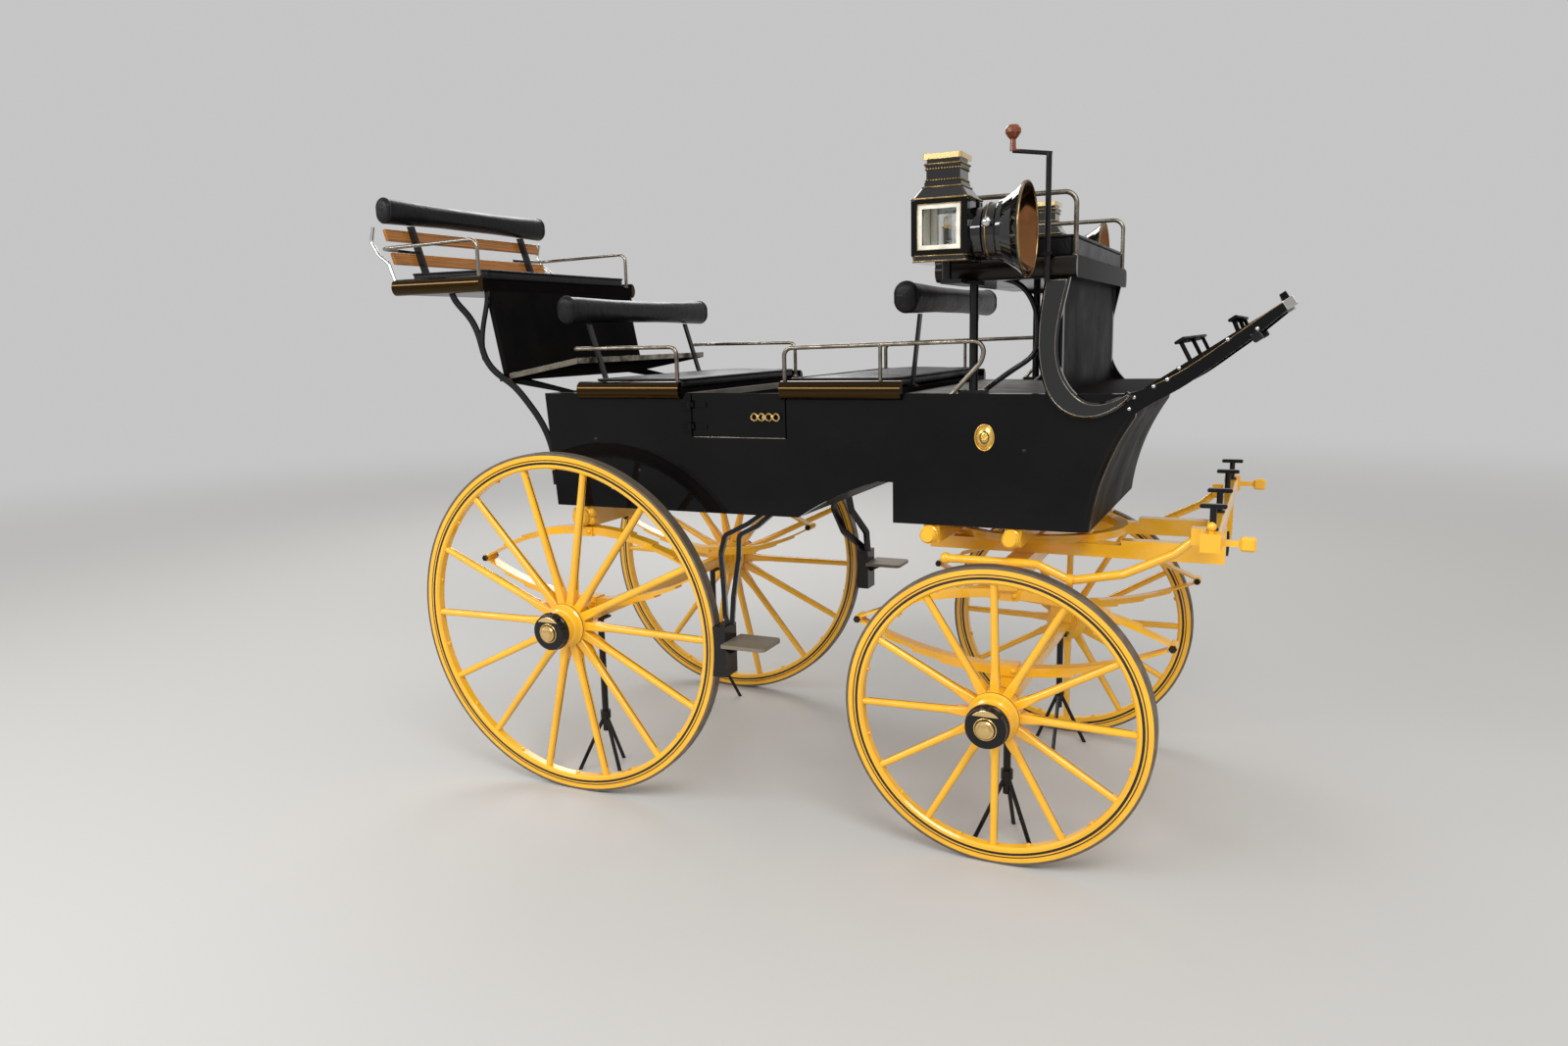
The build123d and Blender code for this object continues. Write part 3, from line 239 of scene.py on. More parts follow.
# %% One recipe for every finish
def finish(name, colour, worn, rough, metal=0.0, coat=0.0, grain=8.0, patch=0.5, bump=None, spec=0.5):
    """A finish that wanders between two colours and two roughnesses; bump is (scale, depth in metres)."""
    material = bpy.data.materials.new(name)
    material.use_nodes = True
    tree = material.node_tree
    shader = tree.nodes["Principled BSDF"]
    shader.inputs["Metallic"].default_value = metal
    shader.inputs["Coat Weight"].default_value = coat
    shader.inputs["Coat Roughness"].default_value = 0.04
    shader.inputs["Specular IOR Level"].default_value = spec
    where = add_node(tree, "ShaderNodeTexCoord", (-1100, 0))
    cloud = add_node(tree, "ShaderNodeTexNoise", (-900, 100), Scale=grain, Detail=6.0, Roughness=0.6)
    spread = add_node(tree, "ShaderNodeMapRange", (-700, 100), From_Min=0.35, From_Max=0.35 + patch)
    tint = add_node(tree, "ShaderNodeMix", (-450, 200), data_type="RGBA")
    tint.inputs[6].default_value = (*colour, 1)
    tint.inputs[7].default_value = (*worn, 1)
    gloss = add_node(tree, "ShaderNodeMapRange", (-450, -50), To_Min=rough[0], To_Max=rough[1])
    wire(
        tree,
        (where.outputs["Object"], cloud.inputs["Vector"]),
        (cloud.outputs["Fac"], spread.inputs["Value"]),
        (spread.outputs[0], tint.inputs[0]),
        (tint.outputs[2], shader.inputs["Base Color"]),
        (spread.outputs[0], gloss.inputs["Value"]),
        (gloss.outputs[0], shader.inputs["Roughness"]),
    )
    if bump:
        scale, depth = bump
        fine = add_node(tree, "ShaderNodeTexNoise", (-900, -300), Scale=scale, Detail=3.0)
        raised = add_node(tree, "ShaderNodeBump", (-450, -300), Strength=1.0, Distance=depth)
        wire(
            tree,
            (where.outputs["Object"], fine.inputs["Vector"]),
            (fine.outputs["Fac"], raised.inputs["Height"]),
            (raised.outputs[0], shader.inputs["Normal"]),
        )
    return material


# %% Paint and lacquer
coach_black = finish("coach black varnish", (0.003, 0.003, 0.0035), (0.007, 0.006, 0.006), (0.05, 0.12),
                     grain=3.0, bump=(14.0, 0.0004), spec=0.17)
wing_black = finish("wing varnish", (0.003, 0.003, 0.0035), (0.006, 0.006, 0.006), (0.03, 0.08),
                    coat=0.5, grain=3.0)
worn_black = finish("worn black varnish", (0.006, 0.006, 0.006), (0.016, 0.014, 0.012), (0.30, 0.5),
                    grain=5.0, bump=(30.0, 0.0003), spec=0.008)
seat_black = finish("seat lacquer", (0.004, 0.0035, 0.0035), (0.010, 0.008, 0.007), (0.10, 0.20),
                    grain=6.0, spec=0.003)
matt_black = finish("matt black boards", (0.005, 0.005, 0.005), (0.011, 0.010, 0.009), (0.8, 0.9),
                    grain=5.0, spec=0.0)
coach_yellow = finish("coach yellow varnish", (0.93, 0.50, 0.024), (0.80, 0.39, 0.018), (0.16, 0.30),
                      coat=0.5, grain=5.0, bump=(60.0, 0.0002))
black_enamel = finish("black enamel on iron", (0.006, 0.006, 0.007), (0.014, 0.012, 0.011), (0.14, 0.32),
                      coat=0.1, grain=14.0, bump=(90.0, 0.0003), spec=0.25)
line_black = finish("black line paint", (0.006, 0.005, 0.004), (0.012, 0.009, 0.006), (0.2, 0.3),
                    coat=0.3, grain=30.0)
line_brown = finish("brown line paint", (0.085, 0.032, 0.010), (0.060, 0.022, 0.008), (0.2, 0.3),
                    coat=0.3, grain=30.0)
# The deck cover is grey, and its colour is lightened here as a painted sheen for the light its top reflects; the
# noise varies it at random.
deck_cloth_and_sheen = finish("grey deck with painted sheen", (0.17, 0.155, 0.13), (0.10, 0.092, 0.078), (0.35, 0.6),
                    grain=9.0, patch=0.3, bump=(60.0, 0.0006), spec=0.35)
print(len(bpy.data.materials), "finishes with the paints")

# %% Metal, gilding and the lamp's inside
bare_steel = finish("worn steel tread", (0.20, 0.16, 0.12), (0.10, 0.075, 0.055), (0.45, 0.75),
                    metal=0.55, grain=22.0, bump=(260.0, 0.0006))
pewter = finish("worn plated rail", (0.34, 0.30, 0.24), (0.13, 0.11, 0.085), (0.20, 0.42),
                metal=1.0, grain=24.0, patch=0.3, bump=(200.0, 0.0002))
bright_steel = finish("polished steel", (0.62, 0.62, 0.62), (0.42, 0.40, 0.37), (0.14, 0.30),
                      metal=1.0, grain=30.0)
brass = finish("polished brass", (0.86, 0.62, 0.27), (0.70, 0.46, 0.18), (0.12, 0.28),
               metal=1.0, grain=18.0, bump=(300.0, 0.0001))
dull_brass = finish("lamp brass, darkened", (0.46, 0.32, 0.14), (0.16, 0.10, 0.045), (0.18, 0.40),
                    metal=1.0, grain=26.0, patch=0.3, bump=(300.0, 0.0001))
copper = finish("browned copper", (0.30, 0.13, 0.05), (0.14, 0.055, 0.022), (0.10, 0.24),
                metal=1.0, grain=7.0, bump=(120.0, 0.0001))
gilt = finish("gold leaf", (0.86, 0.58, 0.16), (0.62, 0.38, 0.08), (0.24, 0.42),
              metal=0.9, grain=60.0, bump=(400.0, 0.0001))
# A pale, smooth finish for the rim round the lamp glass: a painted highlight for the light its bevel catches.
bevel_painted_highlight = finish("light in a bevelled edge", (0.80, 0.78, 0.66), (0.50, 0.49, 0.42), (0.10, 0.20),
                       grain=26.0)
silver = finish("white reflector", (0.95, 0.93, 0.84), (0.90, 0.86, 0.70), (0.12, 0.24), grain=12.0)
wax = finish("candle wax", (0.86, 0.82, 0.70), (0.80, 0.74, 0.60), (0.4, 0.5), grain=30.0)
print(len(bpy.data.materials), "finishes with the metals")

# %% [markdown]
# ## Wood and glass
#
# The slats behind the raised seat are varnished wood, whose grain runs across the carriage. A wave texture
# in coordinates that are squeezed along Y draws it, where noise alone would look like cloud. The lamps'
# panes are clear glass, which needs no pattern.


# %% Varnished wood and window glass
def varnished_wood(name, light, dark, scale):
    """Long grain that runs across the carriage, under varnish."""
    material = finish(name, light, dark, (0.16, 0.26), coat=0.25, grain=10.0, spec=0.25)
    tree = material.node_tree
    where = add_node(tree, "ShaderNodeTexCoord", (-1100, 500))
    long_grain = add_node(tree, "ShaderNodeMapping", (-900, 500))
    long_grain.inputs["Scale"].default_value = (1.0, 0.05, 1.0)
    rings = add_node(tree, "ShaderNodeTexWave", (-700, 500), wave_type="BANDS", bands_direction="Z",
                     Scale=scale, Distortion=9.0, Detail=4.0, Detail_Scale=1.6)
    tint = add_node(tree, "ShaderNodeMix", (-450, 500), data_type="RGBA")
    tint.inputs[6].default_value = (*light, 1)
    tint.inputs[7].default_value = (*dark, 1)
    wire(
        tree,
        (where.outputs["Object"], long_grain.inputs["Vector"]),
        (long_grain.outputs[0], rings.inputs["Vector"]),
        (rings.outputs["Fac"], tint.inputs[0]),
        (tint.outputs[2], tree.nodes["Principled BSDF"].inputs["Base Color"]),
    )
    return material


slat_wood = varnished_wood("varnished slat wood", (0.46, 0.185, 0.030), (0.26, 0.085, 0.012), 40.0)

window_glass = bpy.data.materials.new("bevelled glass")
window_glass.use_nodes = True
pane = window_glass.node_tree.nodes["Principled BSDF"]
pane.inputs["Base Color"].default_value = (0.96, 0.98, 0.96, 1)
pane.inputs["Roughness"].default_value = 0.02
pane.inputs["IOR"].default_value = 1.5
pane.inputs["Transmission Weight"].default_value = 1.0
pane.inputs["Alpha"].default_value = 0.25
print("wood and glass")

# %% [markdown]
# ## Leather
#
# Carriage leather is drawn tight, with a pebbled grain and long shallow creases. The pebbles are Voronoi
# cells, the creases a stretched noise, and both only move the light, so the stuffed shape stays what the
# simulation made.


# %% Grained leather
def leather(name, colour, worn):
    """Pebbled leather with shallow creases."""
    material = finish(name, colour, worn, (0.30, 0.46), grain=9.0, spec=0.16)
    tree = material.node_tree
    where = add_node(tree, "ShaderNodeTexCoord", (-1300, -300))
    pebbles = add_node(tree, "ShaderNodeTexVoronoi", (-1000, -300), feature="SMOOTH_F1", Scale=420.0)
    creases = add_node(tree, "ShaderNodeTexNoise", (-1000, -600), Scale=26.0, Detail=5.0, Distortion=1.2)
    low = add_node(tree, "ShaderNodeBump", (-700, -600), Strength=0.7, Distance=0.003)
    high = add_node(tree, "ShaderNodeBump", (-450, -400), Strength=0.5, Distance=0.0006)
    wire(
        tree,
        (where.outputs["Object"], pebbles.inputs["Vector"]),
        (where.outputs["Object"], creases.inputs["Vector"]),
        (creases.outputs["Fac"], low.inputs["Height"]),
        (pebbles.outputs["Distance"], high.inputs["Height"]),
        (low.outputs[0], high.inputs["Normal"]),
        (high.outputs[0], tree.nodes["Principled BSDF"].inputs["Normal"]),
    )
    return material


black_leather = leather("black grained leather", (0.006, 0.006, 0.0065), (0.016, 0.015, 0.014))
print("leather")

# %% [markdown]
# ## Two finishes on one solid
#
# A door and its handle are one solid, as are a lamp and its cap. Painted faces would need cuts in the
# solid's mesh, which stays as it is, so a mask of plain boxes in the object's coordinates tells the shader
# where the second finish begins.

# %% A second finish inside boxes
OPEN = (-3, 3)
BRASS_COLOUR = (0.84, 0.60, 0.26)


def zone(x=OPEN, y=OPEN, z=OPEN, sign=1):
    """Two corners of a box, open where no range is given; a sign of -1 takes it to the right side."""
    across = sorted((sign * y[0], sign * y[1]))
    return (x[0], across[0], z[0]), (x[1], across[1], z[1])


def both_zones(near, far):
    """Boxes between two distances from the middle, one on each side."""
    return [zone(y=(near, far), sign=sign) for sign in (1, -1)]


def with_patches(base, name, boxes, colour, rough, metal=1.0, spec=0.5):
    """A copy of a finish that changes to another inside the boxes, each a pair of corners."""
    material = base.copy()
    material.name = name
    tree = material.node_tree
    shader = tree.nodes["Principled BSDF"]
    where = add_node(tree, "ShaderNodeTexCoord", (-1300, 900))
    masks = []
    for low, high in boxes:
        offset = add_node(tree, "ShaderNodeVectorMath", operation="SUBTRACT")
        offset.inputs[1].default_value = [(a + b) / 2 for a, b in zip(low, high)]
        scaled = add_node(tree, "ShaderNodeVectorMath", operation="DIVIDE")
        scaled.inputs[1].default_value = [abs(b - a) / 2 for a, b in zip(low, high)]
        size = add_node(tree, "ShaderNodeVectorMath", operation="ABSOLUTE")
        parts = add_node(tree, "ShaderNodeSeparateXYZ")
        inside = add_node(tree, "ShaderNodeMath", operation="LESS_THAN")
        inside.inputs[1].default_value = 1.0
        wire(
            tree,
            (where.outputs["Object"], offset.inputs[0]),
            (offset.outputs[0], scaled.inputs[0]),
            (scaled.outputs[0], size.inputs[0]),
            (size.outputs[0], parts.inputs[0]),
            (largest(tree, parts.outputs), inside.inputs[0]),
        )
        masks.append(inside.outputs[0])
    mask = largest(tree, masks)
    changes = {"Base Color": (*colour, 1), "Metallic": metal, "Roughness": rough, "Specular IOR Level": spec}
    for socket, value in changes.items():
        target = shader.inputs[socket]
        kind = "RGBA" if socket == "Base Color" else "FLOAT"
        first, second, result = (6, 7, 2) if kind == "RGBA" else (2, 3, 0)
        mix = add_node(tree, "ShaderNodeMix", data_type=kind)
        if target.is_linked:
            wire(tree, (target.links[0].from_socket, mix.inputs[first]))
        else:
            mix.inputs[first].default_value = target.default_value
        mix.inputs[second].default_value = value
        wire(tree, (mask, mix.inputs[0]), (mix.outputs[result], target))
    return material


print("boxes are open from", *OPEN)

# %% [markdown]
# ## A finish for every solid
#
# The record names a slot for each solid, such as yellow wood or black iron, and most solids take the
# slot's finish as it is. Second finishes are painted after that: treads and rails are worn to the metal,
# and caps and handles are brass. Two of them are painted light: the toe space is made near-black as
# painted shade, and the seats' black lacquered end mouldings take a dark bronze metal colour as a painted
# warm reflection.

# %% Finishes by slot
by_slot = {
    "tyre": bare_steel,
    "yellow_wood": coach_yellow,
    "yellow_iron": coach_yellow,
    "black_varnish": coach_black,
    "black_iron": black_enamel,
    "lamp_glass": window_glass,
    "oiled_wood": slat_wood,
}
slot_of = {piece["node"]: piece["material_slot"] for piece in frame["record"]["subparts"]}


def dress(obj, material):
    """One finish all over."""
    obj.data.materials.clear()
    obj.data.materials.append(material)
    return obj


def paint(material, *names):
    """Gives solids one finish all over."""
    for name in names:
        dress(nodes[name], material)


for node in nodes:
    if slot_of[node] in by_slot:
        paint(by_slot[slot_of[node]], node)
print("finishes by slot on", len(nodes), "solids")

# %% Seats, boards, steps and rails
wings_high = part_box("riser_wings")[1]
riser_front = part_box("driver_riser")[1][0]
# Ahead of the box seat's riser the deck is near-black and hardly reflects: painted shade for the toe space, which
# lies in shade.
toe_space = zone(x=(riser_front, OPEN[1]))
toe_painted_shade = with_patches(deck_cloth_and_sheen, "deck, with painted shade in the toe space", [toe_space], (0.008, 0.007, 0.006), 0.5, 0.0, 0.01)
paint(toe_painted_shade, "hull_deck")
paint(wing_black, "riser_wings")
paint(worn_black, "hull_floor", "hull_panels", "driver_riser", "footboard")
paint(matt_black, "groom_boards")

MOULDING_END = 0.6
end_mouldings = both_zones(hull_half_width + 0.0003, MOULDING_END)
# The end mouldings are black lacquer. Their dark bronze metal colour is a painted warm reflection, so that the
# strip light draws a gold line along them.
WARM_REFLECTION_TINT = (0.046, 0.027, 0.010)
ends_with_painted_reflection = with_patches(seat_black, "seat lacquer and end mouldings", end_mouldings, WARM_REFLECTION_TINT, 0.12)
paint(ends_with_painted_reflection, "rear_seat", "third_seat", "second_seat")
DARK_END = (0.012, 0.009, 0.007)
dark_ends = with_patches(seat_black, "box seat lacquer", end_mouldings, DARK_END, 0.2, metal=0.0, spec=0.2)
paint(dark_ends, "driver_seat")

steps_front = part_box("steps")[1][0]
tread = zone(x=(steps_front - 0.15, steps_front + 0.01), z=(axle_z + 0.005, axle_z + 0.025))
worn_tread = with_patches(black_enamel, "steps with worn treads", [tread], (0.22, 0.18, 0.13), 0.55, metal=0.3)
paint(worn_tread, "steps")

paint(pewter, "lower_rails", "driver_rail")
RAIL_INSIDE, RAIL_OUTSIDE = 0.40, 0.60
rail_zones = both_zones(RAIL_INSIDE, RAIL_OUTSIDE)
scroll_zones = both_zones(hull_half_width + 0.0005, RAIL_OUTSIDE)
rail_iron = with_patches(black_enamel, "rear irons and rails", rail_zones, (0.26, 0.23, 0.19), 0.26)
scroll_iron = with_patches(rail_iron, "rear irons, rails and scrolls", scroll_zones, (0.62, 0.62, 0.60), 0.22)
paint(scroll_iron, "rear_irons")
print("end mouldings from", hull_half_width, "out, treads at", steps_front)

# %% Brass on the doors, hub caps and lamps, and the brake's wooden knob
HANDLE_LENGTH, HANDLE_REACH = 0.13, 0.05
NOSE_DEPTH = 0.0105
LAMP_CAP_HEIGHT = 0.0142
KNOB_WIDTH, KNOB_HEIGHT = 0.044, 0.071
for side, sign in (("left", 1), ("right", -1)):
    door_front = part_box(f"door_{side}")[1][0]
    handle = zone(x=(door_front - HANDLE_LENGTH, door_front + 0.001),
                  y=(hull_half_width + 0.0005, hull_half_width + HANDLE_REACH), sign=sign)
    door_finish = with_patches(coach_black, f"door varnish and brass {side}", [handle], BRASS_COLOUR, 0.2)
    paint(door_finish, f"door_{side}")
    for axle in ("rear", "front"):
        cap_low, cap_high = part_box(f"{axle}_hub_cap_{side}")
        cap_end = max(abs(cap_low[1]), abs(cap_high[1]))
        nose = zone(y=(cap_end - NOSE_DEPTH, cap_end + 0.001), sign=sign)
        cap_finish = with_patches(black_enamel, f"{axle} hub cap {side}", [nose], BRASS_COLOUR, 0.22)
        paint(cap_finish, f"{axle}_hub_cap_{side}")
    lamp_cap = zone(z=(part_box(f"lamp_{side}")[1][2] - LAMP_CAP_HEIGHT, OPEN[1]))
    lamp_finish = with_patches(wing_black, f"lamp black and brass {side}", [lamp_cap], BRASS_COLOUR, 0.2)
    paint(lamp_finish, f"lamp_{side}")
crank_low, crank_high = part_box("brake_crank")
knob = zone(x=(OPEN[0], crank_low[0] + KNOB_WIDTH), z=(crank_high[2] - KNOB_HEIGHT, OPEN[1]))
crank_finish = with_patches(black_enamel, "brake crank and knob", [knob], (0.17, 0.040, 0.014), 0.25, metal=0.0)
paint(crank_finish, "brake_crank")
print(len(bpy.data.materials), "finishes in all")

# %% [markdown]
# ## Repeats with Geometry Nodes
#
# Spokes, beads and nuts repeat by a rule. They could be copied in a loop, but here the rule is written
# once as a node tree, and every use only fills in its sizes. Four small trees do all of it: round an axle,
# along a line, beads on a path, and a round bar along a path.


# %% Tools for node trees
def new_tree(name, inputs):
    """A geometry tree with a geometry input and output and the named inputs."""
    tree = bpy.data.node_groups.new(name, "GeometryNodeTree")
    tree.is_modifier = True
    tree.interface.new_socket("Geometry", in_out="INPUT", socket_type="NodeSocketGeometry")
    for label, kind in (*inputs.items(), ("Material", "Material")):
        tree.interface.new_socket(label, in_out="INPUT", socket_type=f"NodeSocket{kind}")
    tree.interface.new_socket("Geometry", in_out="OUTPUT", socket_type="NodeSocketGeometry")
    return tree, tree.nodes.new("NodeGroupInput"), tree.nodes.new("NodeGroupOutput")


def close_tree(tree, start, end, instances):
    """Ends a tree with real geometry and its material."""
    real = tree.nodes.new("GeometryNodeRealizeInstances")
    dress_it = tree.nodes.new("GeometryNodeSetMaterial")
    wire(
        tree,
        (instances, real.inputs[0]),
        (real.outputs[0], dress_it.inputs["Geometry"]),
        (start.outputs["Material"], dress_it.inputs["Material"]),
        (dress_it.outputs[0], end.inputs[0]),
    )


def baked(obj):
    """Keeps what an object's modifiers make as its plain mesh."""
    depsgraph = bpy.context.evaluated_depsgraph_get()
    depsgraph.update()
    mesh = bpy.data.meshes.new_from_object(obj.evaluated_get(depsgraph), depsgraph=depsgraph)
    obj.modifiers.clear()
    obj.data = mesh
    return obj


def grow(obj, tree, **values):
    """Runs a tree on an object and keeps the result; each key is an input of the tree."""
    modifier = obj.modifiers.new("repeat", "NODES")
    modifier.node_group = tree
    sockets = {s.name: s.identifier for s in tree.interface.items_tree if s.in_out == "INPUT"}
    for key, value in values.items():
        modifier[sockets[key]] = value
    return baked(obj)


# %% Tree: repeat round an axle
around, start, end = new_tree("Repeat round an axle", {"Count": "Int"})
points = around.nodes.new("GeometryNodePoints")
place = around.nodes.new("GeometryNodeInstanceOnPoints")
index = around.nodes.new("GeometryNodeInputIndex")
full_turn = add_node(around, "ShaderNodeMath", operation="DIVIDE")
full_turn.inputs[0].default_value = 2 * math.pi
angle = add_node(around, "ShaderNodeMath", operation="MULTIPLY")
spin = around.nodes.new("ShaderNodeCombineXYZ")
euler = around.nodes.new("FunctionNodeEulerToRotation")
wire(
    around,
    (start.outputs["Count"], points.inputs["Count"]),
    (start.outputs["Count"], full_turn.inputs[1]),
    (index.outputs[0], angle.inputs[0]),
    (full_turn.outputs[0], angle.inputs[1]),
    (angle.outputs[0], spin.inputs[2]),
    (spin.outputs[0], euler.inputs[0]),
    (points.outputs[0], place.inputs["Points"]),
    (start.outputs["Geometry"], place.inputs["Instance"]),
    (euler.outputs[0], place.inputs["Rotation"]),
)
close_tree(around, start, end, place.outputs[0])
print(around.name, "has", len(around.nodes), "nodes")

# %% Tree: repeat along a line
along, start, end = new_tree("Repeat along a line", {"Count": "Int", "Step": "Vector"})
row = add_node(along, "GeometryNodeMeshLine", mode="OFFSET")
place = along.nodes.new("GeometryNodeInstanceOnPoints")
wire(
    along,
    (start.outputs["Count"], row.inputs["Count"]),
    (start.outputs["Step"], row.inputs["Offset"]),
    (row.outputs[0], place.inputs["Points"]),
    (start.outputs["Geometry"], place.inputs["Instance"]),
)
close_tree(along, start, end, place.outputs[0])
print(along.name, "has", len(along.nodes), "nodes")

# %% Tree: beads on a path
beads, start, end = new_tree("Beads on a path", {"Spacing": "Float", "Radius": "Float"})
path = beads.nodes.new("GeometryNodeMeshToCurve")
even = add_node(beads, "GeometryNodeResampleCurve", mode="LENGTH")
bead = add_node(beads, "GeometryNodeMeshIcoSphere", Subdivisions=2)
place = beads.nodes.new("GeometryNodeInstanceOnPoints")
smooth = beads.nodes.new("GeometryNodeSetShadeSmooth")
wire(
    beads,
    (start.outputs["Geometry"], path.inputs[0]),
    (path.outputs[0], even.inputs["Curve"]),
    (start.outputs["Spacing"], even.inputs["Length"]),
    (start.outputs["Radius"], bead.inputs["Radius"]),
    (bead.outputs[0], smooth.inputs[0]),
    (even.outputs[0], place.inputs["Points"]),
    (smooth.outputs[0], place.inputs["Instance"]),
)
close_tree(beads, start, end, place.outputs[0])
print(beads.name, "has", len(beads.nodes), "nodes")

# %% Tree: a round bar along a path
bar_tree, start, end = new_tree("Round bar along a path", {"Radius": "Float"})
path = bar_tree.nodes.new("GeometryNodeMeshToCurve")
ring = add_node(bar_tree, "GeometryNodeCurvePrimitiveCircle", Resolution=12)
skin = add_node(bar_tree, "GeometryNodeCurveToMesh", Fill_Caps=True)
smooth = bar_tree.nodes.new("GeometryNodeSetShadeSmooth")
wire(
    bar_tree,
    (start.outputs["Geometry"], path.inputs[0]),
    (start.outputs["Radius"], ring.inputs["Radius"]),
    (path.outputs[0], skin.inputs["Curve"]),
    (ring.outputs[0], skin.inputs["Profile Curve"]),
    (skin.outputs[0], smooth.inputs[0]),
)
close_tree(bar_tree, start, end, smooth.outputs[0])
print(bar_tree.name, "has", len(bar_tree.nodes), "nodes")

# %% [markdown]
# ## Small shapes by hand
#
# Everything else starts as a list of corners: a turned profile, a block or a path. Blender's own
# primitives could be edited instead, but lists of corners give the same mesh each time and can be read.


# %% Shapes from corners
def make(name, corners, faces, edges=()):
    """An object from plain lists."""
    mesh = bpy.data.meshes.new(name)
    mesh.from_pydata([tuple(c) for c in corners], list(edges), list(faces))
    mesh.update()
    obj = bpy.data.objects.new(name, mesh)
    scene.collection.objects.link(obj)
    return obj


def path_object(name, corners, closed=True):
    """A line of edges for the path trees."""
    count = len(corners)
    edges = [(i, (i + 1) % count) for i in range(count if closed else count - 1)]
    return make(name, corners, [], edges)


def bar_on(corners, radius, material, closed=True, name="bar"):
    """A thin round bar that follows corners."""
    return grow(path_object(name, corners, closed), bar_tree, Radius=radius, Material=material)


def shaded(obj, smooth):
    """Smooth or flat shading on every face."""
    for face in obj.data.polygons:
        face.use_smooth = smooth
    return obj


def lathe(name, profile, count=32):
    """A turned piece about Z from points of radius and height; points on the axis close its poles."""
    corners, rings = [], []
    for radius, height in profile:
        first = len(corners)
        if radius < 1e-7:
            rings.append([first])
            corners.append((0, 0, height))
        else:
            rings.append(list(range(first, first + count)))
            corners.extend((x, y, height) for x, y in oval(radius, radius, count))
    faces = []
    for low, high in zip(rings, rings[1:]):
        for i in range(count):
            j = (i + 1) % count
            if len(low) == 1:
                faces.append((low[0], high[j], high[i]))
            elif len(high) == 1:
                faces.append((low[i], low[j], high[0]))
            else:
                faces.append((low[i], low[j], high[j], high[i]))
    return shaded(make(name, corners, faces), True)


def oval(half_wide, half_high, count):
    """Pairs round an oval, or round a circle when both halves are alike."""
    angles = [2 * math.pi * i / count for i in range(count)]
    return [(half_wide * math.cos(a), half_high * math.sin(a)) for a in angles]


def rounded_rectangle(low, high, corner, z, steps):
    """A path at a height round a rectangle in X and Y, with each round corner in a number of steps."""
    path = []
    for x, y, sx, sy, first in ((high[0], high[1], -1, -1, 0), (low[0], high[1], 1, -1, 90),
                                (low[0], low[1], 1, 1, 180), (high[0], low[1], -1, 1, 270)):
        for k in range(steps + 1):
            a = math.radians(first + 90 * k / steps)
            path.append((x + sx * corner + corner * math.cos(a), y + sy * corner + corner * math.sin(a), z))
    return path


def block(name, low, high, bevel=0.0):
    """A box between two corners with rounded edges."""
    shape = bmesh.new()
    bmesh.ops.create_cube(shape, size=1)
    size = [b - a for a, b in zip(low, high)]
    middle = [(a + b) / 2 for a, b in zip(low, high)]
    for v in shape.verts:
        v.co = Vector([v.co[i] * size[i] + middle[i] for i in range(3)])
    if bevel:
        bmesh.ops.bevel(shape, geom=shape.edges[:], offset=bevel, segments=2, affect="EDGES", profile=0.5)
    obj = make(name, [], [])
    shape.to_mesh(obj.data)
    shape.free()
    return obj


print("shapes ready")


# %% Copies, mirrors and joins
def moved(obj, matrix):
    """Moves the shape inside its object, and keeps the faces outwards when the matrix mirrors."""
    obj.data.transform(matrix)
    if matrix.determinant() < 0:
        obj.data.flip_normals()
    return obj


def facing_y(place, sign):
    """Turns Z to point along Y, left for 1 and right for -1, and moves to a place."""
    return Matrix.Translation(place) @ Matrix(((1, 0, 0), (0, 0, sign), (0, -sign, 0))).to_4x4()


def copy_of(obj, name):
    """A second object with its own mesh."""
    twin = bpy.data.objects.new(name, obj.data.copy())
    scene.collection.objects.link(twin)
    return twin


def joined(name, objects):
    """Several pieces as one object; their materials stay with their faces."""
    target = objects[0]
    materials = []
    for obj in objects:
        for material in obj.data.materials:
            if material not in materials:
                materials.append(material)
    shape = bmesh.new()
    for obj in objects:
        lookup = [materials.index(m) for m in obj.data.materials] or [0]
        before = len(shape.faces)
        shape.from_mesh(obj.data)
        shape.faces.ensure_lookup_table()
        for face in shape.faces[before:]:
            face.material_index = lookup[min(face.material_index, len(lookup) - 1)]
    mesh = bpy.data.meshes.new(name)
    shape.to_mesh(mesh)
    shape.free()
    for material in materials:
        mesh.materials.append(material)
    for obj in objects[1:]:
        bpy.data.objects.remove(obj)
    target.data = mesh
    target.name = name
    return target


def hand_over(obj, body):
    """The piece rides with a body."""
    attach(obj, body)
    return obj


MIRROR = Matrix.Scale(-1, 4, Vector((0, 1, 0)))


def both_sides(name, obj, body):
    """A left piece and its mirror image, joined as one piece of a body."""
    other = moved(copy_of(obj, name + " other"), MIRROR)
    return hand_over(joined(name, [obj, other]), body)


print("helpers ready")

# %% [markdown]
# ## Painted lines on the wheels
#
# A wheelwright's painter runs a black line and a finer brown one round the felloes, bands round the nave,
# and a thin line down each side of every spoke. A mask in the material could colour them, but its edge
# would blur on the curved wood, so they are strips of paint that lie on it. One spoke's lines are drawn
# once, and the first tree turns them round the axle as often as the wheel has spokes.

# %% Sizes of the wheels and of the paint
wheels = {
    "rear": dict(radius=0.610, spokes=14, spoke=0.030),
    "front": dict(radius=0.4635, spokes=12, spoke=0.028),
}
TYRE_WIDTH = 0.038
TYRE_THICKNESS = 0.008
FELLOE_DEPTH = 0.046
NAVE_RADIUS = 0.078
DISH = 0.024
PAINT = 0.0004
PAINT_SINK = 0.0003
SPOKE_LINE = 0.0034


